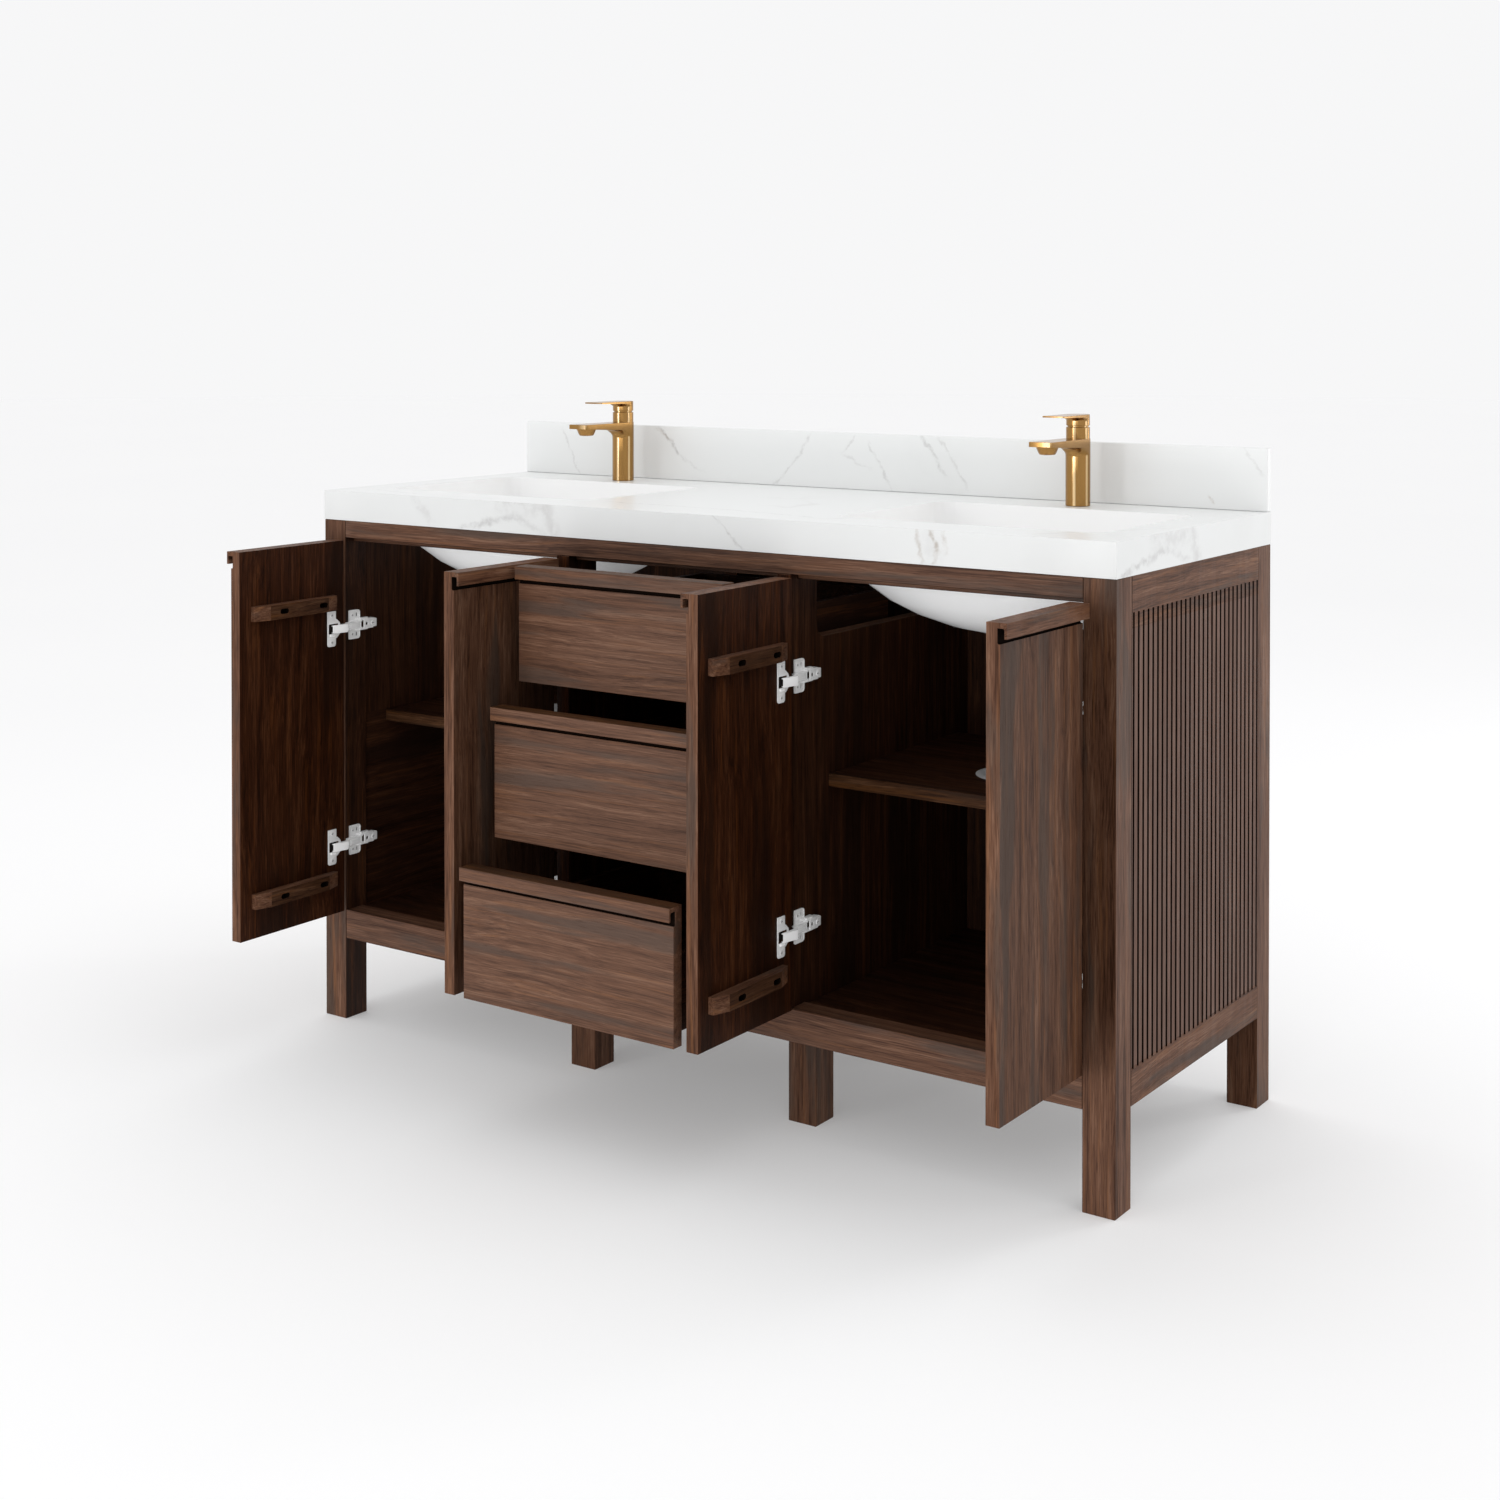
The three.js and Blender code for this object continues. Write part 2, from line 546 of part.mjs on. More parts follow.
function slotShape(x, z) {
  const shape = new THREE.Shape();
  const reach = SLOT_HALF - SLOT_RADIUS;
  shape.absarc(x + reach, z, SLOT_RADIUS, -Math.PI / 2, Math.PI / 2);
  shape.absarc(x - reach, z, SLOT_RADIUS, Math.PI / 2, Math.PI * 1.5);
  return shape;
}

function doorLeaf(sign) {
  const fromEdge = (distance) => -sign * (HINGE_OFFSET + distance);
  const inside = HINGE_FRONT + FRONT_THICKNESS;
  const start = Math.min(fromEdge(0), fromEdge(DOOR_WIDTH));
  const panel = runAlongX(frontSection(DOOR_BOTTOM, DOOR_TOP), DOOR_WIDTH, start, 3);
  panel.translate(0, HINGE_FRONT, 0);
  const battens = BATTEN_HEIGHTS.map((height) =>
    extrude(battenPlan(sign), BATTEN_HEIGHT).translate(0, 0, height - BATTEN_HEIGHT / 2));
  const slots = BATTEN_HEIGHTS.flatMap((height) => SLOT_CENTRES.map((distance) => {
    const crest = inside + BATTEN_PROUD;
    return runAlongY(slotShape(fromEdge(distance), height), crest - SLOT_DEPTH, crest + 1, 5);
  }));
  const cups = Object.values(HINGE_HEIGHTS).map((height) =>
    runAlongY(disc(CUP_RADIUS, fromEdge(CUP_CENTRE), height), inside - CUP_DEPTH, inside + 1, 16));
  return cut(join(panel, ...battens), ...slots, ...cups);
}

// ---- concealed hinges ----------------------------------------------------------------------
// Both are drawn from the link's pin, with the carrying face LINK_PIVOT_IN away on the side
// given by sign, and the leaf closed.
function hingeArm(sign) {
  const face = LINK_PIVOT_IN - GAP;
  const across = (a, b) => [sign * a, sign * b];
  const backFromPin = (y) => y + CARCASS_FRONT - 1 - LINK_PIVOT_BACK;
  const plate = slab(across(face - 1.8, face), [backFromPin(1.5), backFromPin(32.5)], [-25.5, 25.5]);
  const arm = slab(across(-3, face - 1), [5, 37], [-8.6, 8.6]);
  const ears = [-1, 1].map((up) =>
    slab(across(-LINK_HALF, face - 1), [-3.6, 6], [up * 7.9 - 0.9, up * 7.9 + 0.9]));
  const pin = extrude(disc(PIN_RADIUS), 16, 10).translate(0, 0, -8);
  return join(plate, arm, ...ears, pin);
}

function hingeLink(sign) {
  const shape = new THREE.Shape();
  const x = (value) => sign * value;
  shape.moveTo(x(0), -LINK_HALF);
  shape.lineTo(x(-LINK_BEND), -LINK_HALF);
  shape.lineTo(x(-LINK_BEND), LINK_STEP_LOW);
  shape.lineTo(x(-LINK_LENGTH), LINK_STEP_LOW);
  shape.lineTo(x(-LINK_LENGTH), LINK_STEP_HIGH);
  shape.lineTo(x(-LINK_BEND + 6), LINK_STEP_HIGH);
  shape.lineTo(x(-LINK_BEND + 18), LINK_HALF);
  shape.lineTo(x(0), LINK_HALF);
  const start = Math.PI / 2;
  shape.absarc(0, 0, LINK_HALF, start, start - sign * Math.PI, sign > 0);
  shape.holes.push(new THREE.Path().absarc(0, 0, PIN_RADIUS + PIN_CLEARANCE, 0, Math.PI * 2));
  return extrude(shape, LINK_HEIGHT, 6).translate(0, 0, -LINK_HEIGHT / 2);
}

// Doors are numbered from the left. carrier is the face that holds the hinges, and hinged is
// the side of the opening that it stands on.
const DOORS = [
  { number: 1, carrier: -POST_INNER, hinged: -1 },
  { number: 2, carrier: -DIVIDER_OUTER, hinged: 1 },
  { number: 3, carrier: DIVIDER_OUTER, hinged: -1 },
  { number: 4, carrier: POST_INNER, hinged: 1 },
];

function buildDoors(group) {
  for (const { number, carrier, hinged } of DOORS) {
    const open = (hinged * Math.PI) / 2;
    const edge = carrier - hinged * DOOR_GAP;
    const leaf = add(group, `door_${number}`, doorLeaf(hinged), walnut);
    leaf.position.set(edge + hinged * HINGE_OFFSET, CARCASS_FRONT - HINGE_FRONT, 0);
    leaf.rotation.z = open;
    const pinX = carrier - hinged * LINK_PIVOT_IN;
    const pinY = CARCASS_FRONT + LINK_PIVOT_BACK;
    for (const [place, height] of Object.entries(HINGE_HEIGHTS)) {
      add(group, `hinge_arm_${number}_${place}`, hingeArm(hinged), steel, pinX, pinY, height);
      const link = add(group, `hinge_link_${number}_${place}`, hingeLink(hinged), steel, pinX, pinY, height);
      link.rotation.z = open;
    }
  }
}

// ---- drawers -------------------------------------------------------------------------------
function drawerBox() {
  const y0 = FRONT_THICKNESS + GAP;
  const outer = slab([-DRAWER_BOX_HALF, DRAWER_BOX_HALF], [y0, y0 + DRAWER_BOX_DEPTH], [0, DRAWER_BOX_HEIGHT]);
  const half = DRAWER_BOX_HALF - DRAWER_WALL;
  const inner = slab([-half, half], [y0 + DRAWER_WALL, y0 + DRAWER_BOX_DEPTH - DRAWER_WALL], [DRAWER_FLOOR, TOP_SURFACE]);
  return cut(outer, inner);
}

function buildDrawers(group) {
  for (const { name, low, high, pull } of DRAWERS) {
    const drawer = new THREE.Group();
    drawer.position.set(0, CARCASS_FRONT - pull, 0);
    group.add(drawer);
    const front = runAlongX(frontSection(low, high), 2 * DRAWER_HALF, -DRAWER_HALF, 3);
    add(drawer, `drawer_front_${name}`, front, walnut);
    add(drawer, `drawer_box_${name}`, drawerBox(), walnutInside, 0, 0, low + DRAWER_BOX_RAISE);
  }
}

// ---- the whole cabinet ---------------------------------------------------------------------
const frontmost = CARCASS_FRONT - LIP_PROUD - Math.max(...DRAWERS.map((drawer) => drawer.pull));
const vanity = new THREE.Group();
vanity.position.y = -(frontmost + CARCASS_BACK) / 2;
[buildFrame, buildSides, buildInside, buildTop, buildSinks, buildTaps, buildDoors, buildDrawers]
  .forEach((build) => build(vanity));

export default vanity;
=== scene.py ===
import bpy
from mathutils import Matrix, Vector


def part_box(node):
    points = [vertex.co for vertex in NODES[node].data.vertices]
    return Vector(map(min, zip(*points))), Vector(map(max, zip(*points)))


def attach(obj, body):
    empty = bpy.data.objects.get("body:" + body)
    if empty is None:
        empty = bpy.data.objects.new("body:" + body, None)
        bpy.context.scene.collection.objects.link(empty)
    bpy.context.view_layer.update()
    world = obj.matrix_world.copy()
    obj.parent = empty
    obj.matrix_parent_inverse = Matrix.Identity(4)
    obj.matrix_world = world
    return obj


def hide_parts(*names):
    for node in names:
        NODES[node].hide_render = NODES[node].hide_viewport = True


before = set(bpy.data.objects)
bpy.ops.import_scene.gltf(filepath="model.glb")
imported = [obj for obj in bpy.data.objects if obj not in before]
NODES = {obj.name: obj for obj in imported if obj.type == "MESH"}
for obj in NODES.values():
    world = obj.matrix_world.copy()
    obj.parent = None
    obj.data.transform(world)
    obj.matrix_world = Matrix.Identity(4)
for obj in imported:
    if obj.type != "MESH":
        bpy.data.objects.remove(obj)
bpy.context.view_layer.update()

import itertools
import math
import bmesh
import bpy
from mathutils import Matrix, Vector

SCENE = bpy.context.scene
MM = 0.001
SIDES = (("left", -1), ("right", 1))
FRONT_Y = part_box("worktop")[0].y  # the worktop's front face
WORKTOP_END, WORKTOP_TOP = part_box("worktop")[1].x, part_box("worktop")[1].z


# ---- node helpers ---------------------------------------------------------------------------
class Graph:
    """Adds nodes to a tree and joins them: each method returns an output socket."""

    def __init__(self, tree):
        self.tree = tree

    def node(self, kind, **settings):
        made = self.tree.nodes.new(kind)
        for key, value in settings.items():
            setattr(made, key, value)
        return made

    def put(self, socket, value):
        if isinstance(value, bpy.types.NodeSocket):
            self.tree.links.new(value, socket)
        elif value is not None:
            socket.default_value = value

    def math(self, op, a, b=None):
        n = self.node("ShaderNodeMath", operation=op)
        self.put(n.inputs[0], a)
        self.put(n.inputs[1], b)
        return n.outputs[0]

    def vec(self, op, a, b=None):
        n = self.node("ShaderNodeVectorMath", operation=op)
        self.put(n.inputs[0], a)
        self.put(n.inputs[1], b)
        return n.outputs["Value" if op in ("LENGTH", "DOT_PRODUCT") else "Vector"]

    def noise(self, vector, scale=1.0, detail=2.0, rough=0.5):
        n = self.node("ShaderNodeTexNoise", noise_dimensions="3D")
        self.put(n.inputs["Vector"], vector)
        n.inputs["Scale"].default_value = scale
        n.inputs["Detail"].default_value = detail
        n.inputs["Roughness"].default_value = rough
        return n.outputs["Fac"]

    def ramp(self, value, low, high, to_low=0.0, to_high=1.0):
        n = self.node("ShaderNodeMapRange", interpolation_type="SMOOTHSTEP", clamp=True)
        for i, item in enumerate((value, low, high, to_low, to_high)):
            self.put(n.inputs[i], item)
        return n.outputs[0]

    def mix(self, factor, a, b):
        n = self.node("ShaderNodeMix", data_type="RGBA")
        self.put(n.inputs["Factor"], factor)
        for index, value in ((6, a), (7, b)):
            self.put(n.inputs[index], (*value, 1.0) if isinstance(value, (tuple, list)) else value)
        return n.outputs[2]

    def split(self, vector):
        n = self.node("ShaderNodeSeparateXYZ")
        self.put(n.inputs[0], vector)
        return n.outputs

    def join(self, x, y, z):
        n = self.node("ShaderNodeCombineXYZ")
        for i, value in enumerate((x, y, z)):
            self.put(n.inputs[i], value)
        return n.outputs[0]

    def coords(self, which="Object"):
        return self.node("ShaderNodeTexCoord").outputs[which]

    def bump(self, height, distance, strength=1.0):
        n = self.node("ShaderNodeBump")
        n.inputs["Strength"].default_value = strength
        n.inputs["Distance"].default_value = distance
        self.put(n.inputs["Height"], height)
        return n.outputs[0]


def material(name, roughness=0.5, metallic=0.0, **fixed):
    """A Principled material: (material, graph, shader). fixed are the shader's own constants."""
    made = bpy.data.materials.new(name)
    made.use_nodes = True
    graph = Graph(made.node_tree)
    shader = made.node_tree.nodes["Principled BSDF"]
    shader.inputs["Roughness"].default_value = roughness
    shader.inputs["Metallic"].default_value = metallic
    for key, value in fixed.items():
        shader.inputs[key.replace("_", " ")].default_value = value
    return made, graph, shader


# ---- wood -----------------------------------------------------------------------------------
def grain_group():
    """Walnut figure for a place whose X runs along the grain: masks and height for the finish."""
    tree = bpy.data.node_groups.new("walnut_grain", "ShaderNodeTree")
    tree.interface.new_socket("Place", in_out="INPUT", socket_type="NodeSocketVector")
    tree.interface.new_socket("Wander", in_out="INPUT", socket_type="NodeSocketFloat")
    for name in ("Tone", "Streak", "Orange", "Pore", "Height"):
        tree.interface.new_socket(name, in_out="OUTPUT", socket_type="NodeSocketFloat")
    g = Graph(tree)
    start, wander = g.node("NodeGroupInput").outputs[:2]
    end = g.node("NodeGroupOutput")
    sweep = g.math("SUBTRACT", g.noise(g.vec("MULTIPLY", start, (1.8, 5.0, 5.0)), 1.0, 2.0), 0.5)
    ripple = g.math("SUBTRACT", g.noise(g.vec("MULTIPLY", start, (8.0, 26.0, 26.0)), 1.0, 2.0), 0.5)
    shift = g.math("ADD", g.math("MULTIPLY", sweep, 0.06), g.math("MULTIPLY", ripple, 0.009))
    shift = g.math("MULTIPLY", shift, wander)
    place = g.vec("ADD", start, g.join(0.0, shift, shift))
    streak = g.noise(g.vec("MULTIPLY", place, (2.2, 20.0, 20.0)), 1.0, 4.0, 0.6)
    band = g.noise(g.vec("MULTIPLY", place, (2.6, 74.0, 74.0)), 1.0, 4.0, 0.6)
    fibre = g.noise(g.vec("MULTIPLY", place, (16.0, 460.0, 460.0)), 1.0, 3.0, 0.65)
    elsewhere = g.vec("ADD", place, (3.1, 5.7, 1.9))
    orange = g.noise(g.vec("MULTIPLY", elsewhere, (3.0, 110.0, 110.0)), 1.0, 3.0, 0.6)
    pore = g.ramp(g.noise(g.vec("MULTIPLY", place, (34.0, 620.0, 620.0)), 1.0, 2.0), 0.56, 0.68)
    tone = g.math("ADD", g.math("MULTIPLY", band, 0.52), g.math("MULTIPLY", fibre, 0.48))
    g.put(end.inputs["Tone"], tone)
    g.put(end.inputs["Streak"], streak)
    g.put(end.inputs["Orange"], orange)
    g.put(end.inputs["Pore"], pore)
    g.put(end.inputs["Height"], g.math("SUBTRACT", fibre, g.math("MULTIPLY", pore, 0.7)))
    return tree


GRAIN = grain_group()
GRAIN_AXES = {"x": (0, 1, 2), "y": (1, 2, 0), "z": (2, 0, 1)}
# The tones of each cut: WALNUT for outer faces and SLAT for the screens. The darker sets are painted
# shade: DEEP_SHADE for the doors' inner faces, INSIDE_SHADE for the cupboards, LIP_TOP_SHADE for the
# tops of the drawers' lips, EDGE for the shelves' edges and BATTEN_CREST_SHADE for the
# crests of the doors' battens.
WALNUT = {
    "dark": (0.046, 0.0185, 0.0095),
    "mid": (0.118, 0.053, 0.0295),
    "light": (0.200, 0.104, 0.063),
    "grey": (0.066, 0.045, 0.035),
    "orange": (0.215, 0.090, 0.036),
}
DEEP_SHADE = {
    "dark": (0.010, 0.0028, 0.0010),
    "mid": (0.034, 0.0100, 0.0036),
    "light": (0.074, 0.026, 0.0100),
    "grey": (0.013, 0.0048, 0.0024),
    "orange": (0.110, 0.033, 0.0080),
}
INSIDE_SHADE = {
    "dark": (0.012, 0.0044, 0.0022),
    "mid": (0.034, 0.0125, 0.0060),
    "light": (0.070, 0.028, 0.013),
    "grey": (0.016, 0.0072, 0.0045),
    "orange": (0.095, 0.033, 0.010),
}
LIP_TOP_SHADE = {
    "dark": (0.026, 0.0105, 0.0035),
    "mid": (0.066, 0.0255, 0.0088),
    "light": (0.125, 0.054, 0.019),
    "grey": (0.036, 0.0175, 0.0090),
    "orange": (0.165, 0.066, 0.016),
}
SLAT = {
    "dark": (0.094, 0.048, 0.033),
    "mid": (0.132, 0.072, 0.051),
    "light": (0.172, 0.099, 0.073),
    "grey": (0.120, 0.068, 0.050),
    "orange": (0.160, 0.078, 0.046),
}
EDGE = {
    "dark": (0.016, 0.0062, 0.0026),
    "mid": (0.048, 0.020, 0.0085),
    "light": (0.094, 0.044, 0.021),
    "grey": (0.026, 0.0130, 0.0075),
    "orange": (0.130, 0.050, 0.014),
}
BATTEN_CREST_SHADE = {
    "dark": (0.021, 0.0082, 0.0038),
    "mid": (0.056, 0.0235, 0.0110),
    "light": (0.104, 0.050, 0.026),
    "grey": (0.031, 0.0160, 0.0100),
    "orange": (0.135, 0.052, 0.016),
}
# painted shade: darker walnut for faces that the light misses, and a lighter step of it for faces
# that it half misses
SHADE = {key: tuple(part * 0.62 for part in tone) for key, tone in WALNUT.items()}
HALF_SHADE = {key: tuple(part * 0.8 for part in tone) for key, tone in WALNUT.items()}
# paler walnut, a painted sheen for the posts' matt front faces, which get no sheen from the light
PAINTED_SHEEN = {key: tuple(part + 0.0095 for part in tone) for key, tone in WALNUT.items()}
# the drawer fronts' quieter cut: every tone is drawn towards the middle one
CALM = {key: tuple(0.84 * part + 0.16 * middle for part, middle in zip(tone, (0.125, 0.064, 0.039)))
        for key, tone in WALNUT.items()}


def figure(g, grain, seed, tones, wander=1.0, fine=1.0):
    """Colour, grain height and tone of one cut of wood, from object space.

    wander bends the grain; fine narrows it, and then it also runs on a little longer."""
    place = g.split(g.coords())
    turned_along = g.join(*[place[i] for i in GRAIN_AXES[grain]])
    along = g.vec("MULTIPLY", turned_along, (0.85 if fine > 1 else 1.0, fine, fine))
    group = g.node("ShaderNodeGroup", node_tree=GRAIN)
    g.put(group.inputs[0], g.vec("ADD", along, (seed * 1.37, seed * 0.71, seed * 2.13)))
    group.inputs[1].default_value = wander
    tone, streak, orange, pore, height = group.outputs
    colour = g.mix(g.ramp(tone, 0.36, 0.51), tones["dark"], tones["mid"])
    colour = g.mix(g.ramp(tone, 0.50, 0.64), colour, tones["light"])
    colour = g.mix(g.ramp(orange, 0.54, 0.70, 0.0, 0.45), colour, tones["orange"])
    colour = g.mix(g.ramp(streak, 0.51, 0.64, 0.0, 0.75), colour, tones["grey"])
    colour = g.mix(g.math("MULTIPLY", pore, 0.55), colour, tones["dark"])
    return colour, height, tone


WOOD_ROUGHNESS = 0.46


def wood(name, grain, seed, tones=WALNUT, zones=(), wander=None, gloss=0.20, fine=1.0):
    """Walnut. zones are (where, grain, tones): where(g, x, y, z, normal) masks another cut, with its own
    grain and tones; the darker tone sets there are painted shade.
    """
    made, g, shader = material(name, WOOD_ROUGHNESS, Specular_IOR_Level=gloss)
    wander = (1.0 if grain == "x" else 0.35) if wander is None else wander
    colour, height, tone = figure(g, grain, seed, tones, wander, fine)
    x, y, z = g.split(g.coords())
    normal = g.coords("Normal")
    for index, (where, cut, other) in enumerate(zones):
        mask = where(g, x, y, z, normal)
        patch, rise, _ = figure(g, cut, seed + 0.37 * (index + 1), other, 0.7)
        colour = g.mix(mask, colour, patch)
        height = g.math("ADD", g.math("MULTIPLY", height, g.math("SUBTRACT", 1.0, mask)),
                        g.math("MULTIPLY", rise, mask))
    g.put(shader.inputs["Base Color"], colour)
    uneven = g.ramp(tone, 0.3, 0.7, WOOD_ROUGHNESS + 0.1, WOOD_ROUGHNESS - 0.05)
    g.put(shader.inputs["Roughness"], uneven)
    g.put(shader.inputs["Normal"], g.bump(height, 0.0003, 0.35))
    return made


def facing(direction):
    """Zone test: faces that look along a direction."""
    return lambda g, x, y, z, n: g.ramp(g.vec("DOT_PRODUCT", n, direction), 0.45, 0.65)


def between(axis, low, high, towards=None):
    """Zone test: a slab of space in metres, on any face or on those that look along towards."""
    def where(g, x, y, z, n):
        value = {"x": x, "y": y, "z": z}[axis]
        mask = g.math("MULTIPLY", g.math("GREATER_THAN", value, low), g.math("LESS_THAN", value, high))
        return g.math("MULTIPLY", mask, facing(towards)(g, x, y, z, n)) if towards else mask
    return where


def rising(none, full):
    """Zone test: comes in softly between two heights."""
    return lambda g, x, y, z, n: g.ramp(z, none, full)


def both(first, second):
    """Zone test: where two tests hold."""
    return lambda g, x, y, z, n: g.math("MULTIPLY", first(g, x, y, z, n), second(g, x, y, z, n))


# ---- stone, glaze and metals ----------------------------------------------------------------
STONE = (0.80, 0.81, 0.805)
CUTOUT_INSET = 0.005  # inside a bowl's box and outside the worktop's cut-out over it


def vein(g, across, along, start, end, width, wobble):
    """A thin vein between two points in a plane: 1 on its line, 0 away from it or past its ends."""
    (x0, z0), (x1, z1) = start, end
    length = math.hypot(x1 - x0, z1 - z0)
    dx, dz = (x1 - x0) / length, (z1 - z0) / length
    rx = g.math("SUBTRACT", across, x0)
    rz = g.math("SUBTRACT", along, z0)
    t = g.math("ADD", g.math("MULTIPLY", rx, dx), g.math("MULTIPLY", rz, dz))
    d = g.math("ADD", g.math("MULTIPLY", rx, dz), g.math("MULTIPLY", rz, -dx))
    d = g.math("ABSOLUTE", g.math("ADD", d, wobble))
    near = g.ramp(d, 0.0, width, 1.0, 0.0)
    fade = min(0.2 * length, 0.012)
    ends = g.math("MULTIPLY", g.ramp(t, -fade, fade), g.ramp(t, length - fade, length + fade, 1.0, 0.0))
    broken = g.ramp(g.noise(g.join(across, along, 0.0), 55.0, 3.0, 0.6), 0.36, 0.62, 0.25, 1.0)
    return g.math("MULTIPLY", g.math("MULTIPLY", near, ends), broken)


def marble(name, veins, seed, painted_upright_tone, bowls=False):
    """Polished white stone; its upright faces take their own tone, as painted light and shade.

    veins: (plane, start, end, width, colour, strength) in millimetres."""
    made, g, shader = material(name, 0.34, Specular_IOR_Level=0.35)
    place = g.coords()
    x, y, z = g.split(place)
    shifted = g.vec("ADD", place, (seed, seed * 0.6, seed * 1.7))
    warp = g.math("SUBTRACT", g.noise(shifted, 9.0, 4.0, 0.6), 0.5)
    bent = g.vec("ADD", shifted, g.join(g.math("MULTIPLY", warp, 0.05), g.math("MULTIPLY", warp, 0.10), 0.0))
    web = g.math("ABSOLUTE", g.math("SUBTRACT", g.noise(bent, 2.6, 3.0, 0.55), 0.5))
    mask = g.ramp(g.noise(shifted, 2.2, 2.0), 0.50, 0.64)
    thin = g.math("MULTIPLY", g.ramp(web, 0.0, 0.016, 1.0, 0.0), mask)
    cloud = g.ramp(g.noise(bent, 3.4, 4.0, 0.6), 0.50, 0.78)
    upright = g.ramp(g.math("ABSOLUTE", g.split(g.coords("Normal"))[2]), 0.4, 0.6, 1.0, 0.0)
    # painted light and shade: the upright faces take their own tone instead of the stone's
    colour = g.mix(g.math("MULTIPLY", cloud, 0.16), g.mix(upright, STONE, painted_upright_tone), (0.62, 0.62, 0.61))
    colour = g.mix(g.math("MULTIPLY", thin, 0.20), colour, (0.45, 0.43, 0.415))
    wobble = g.math("MULTIPLY", g.math("SUBTRACT", g.noise(shifted, 42.0, 5.0, 0.65), 0.5), 0.026)
    planes = {"front": (x, z, g.ramp(y, FRONT_Y + 0.0005, FRONT_Y + 0.002, 1.0, 0.0)),
              "right": (y, z, g.ramp(x, WORKTOP_END - 0.0015, WORKTOP_END - 0.0005)),
              "top": (x, y, g.ramp(z, WORKTOP_TOP - 0.0008, WORKTOP_TOP - 0.0002)),
              "wall": (x, z, None)}
    for plane, start, end, width, tint, strength in veins:
        across, along, here = planes[plane]
        shift = FRONT_Y if plane == "right" else 0.0
        rise = FRONT_Y if plane == "top" else 0.0
        ends = [(a * MM + shift, b * MM + rise) for a, b in (start, end)]
        mark = vein(g, across, along, *ends, width * MM, wobble)
        if here is not None:
            mark = g.math("MULTIPLY", mark, here)
        colour = g.mix(g.math("MULTIPLY", mark, strength), colour, tint)
    if bowls:
        for side, _ in SIDES:
            low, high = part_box(f"sink_bowl_{side}")
            inside = both(between("x", low.x + CUTOUT_INSET, high.x - CUTOUT_INSET),
                          between("y", low.y + CUTOUT_INSET, high.y - CUTOUT_INSET))(g, x, y, z, None)
            colour = g.mix(g.math("MULTIPLY", inside, upright), colour, (0.93, 0.93, 0.925))
    g.put(shader.inputs["Base Color"], colour)
    g.put(shader.inputs["Roughness"], g.ramp(cloud, 0.0, 1.0, 0.30, 0.40))
    return made


VEIN_GREY = (0.40, 0.39, 0.385)
VEIN_SOFT = (0.58, 0.575, 0.57)
VEIN_BROWN = (0.30, 0.22, 0.15)
TOP_VEINS = (
    ("front", (447, 926), (458, 876), 5, VEIN_BROWN, 0.38),
    ("front", (470, 926), (480, 905), 6, VEIN_BROWN, 0.64),
    ("front", (478, 908), (488, 895), 7, VEIN_BROWN, 0.55),
    ("front", (486, 898), (475, 876), 6, VEIN_BROWN, 0.64),
    ("front", (491, 926), (497, 895), 5, VEIN_BROWN, 0.30),
    ("front", (468, 926), (478, 876), 26, VEIN_SOFT, 0.30),
    ("front", (-443, 876), (-377, 892), 8, VEIN_GREY, 0.47),
    ("front", (-385, 889), (-315, 903), 10, VEIN_GREY, 0.42),
    ("front", (-320, 904), (-255, 880), 9, VEIN_GREY, 0.30),
    ("front", (-360, 924), (-250, 918), 26, VEIN_SOFT, 0.51),
    ("front", (-255, 930), (-232, 876), 22, VEIN_SOFT, 0.59),
    ("front", (82, 928), (110, 905), 3.5, VEIN_GREY, 0.38),
    ("front", (110, 905), (140, 876), 4, VEIN_GREY, 0.47),
    ("front", (-549, 924), (-503, 885), 14, VEIN_SOFT, 0.42),
    ("right", (12, 876), (90, 893), 8, VEIN_GREY, 0.51),
    ("right", (84, 890), (165, 903), 10, VEIN_GREY, 0.42),
    ("right", (158, 904), (245, 880), 9, VEIN_GREY, 0.30),
    ("right", (110, 922), (240, 916), 26, VEIN_SOFT, 0.51),
    ("right", (250, 930), (275, 870), 24, VEIN_SOFT, 0.64),
    ("top", (-205, 100), (40, 96), 4, VEIN_GREY, 0.40),
    ("top", (36, 96), (240, 62), 4, VEIN_GREY, 0.40),
    ("top", (-700, 60), (-560, 30), 6, VEIN_GREY, 0.26),
    ("top", (620, 30), (740, 210), 6, VEIN_GREY, 0.26),
)
SPLASH_VEINS = (
    ("wall", (-668, 1010), (-628, 930), 4, VEIN_SOFT, 0.50),
    ("wall", (-436, 1027), (-376, 965), 5, VEIN_GREY, 0.54),
    ("wall", (-448, 1027), (-405, 1000), 6, VEIN_BROWN, 0.25),
    ("wall", (-376, 965), (-330, 945), 4, VEIN_SOFT, 0.36),
    ("wall", (-92, 1022), (-120, 980), 4, VEIN_SOFT, 0.50),
    ("wall", (-120, 980), (-170, 930), 4, VEIN_GREY, 0.36),
    ("wall", (2, 1024), (-26, 990), 4, VEIN_SOFT, 0.54),
    ("wall", (-26, 990), (30, 965), 4, VEIN_SOFT, 0.43),
    ("wall", (30, 1008), (78, 932), 4, VEIN_GREY, 0.36),
    ("wall", (136, 1027), (186, 960), 5, VEIN_GREY, 0.40),
    ("wall", (172, 1024), (228, 940), 4, VEIN_SOFT, 0.54),
    ("wall", (666, 950), (674, 936), 4, VEIN_BROWN, 0.40),
    ("wall", (726, 1026), (752, 985), 4, VEIN_SOFT, 0.43),
)


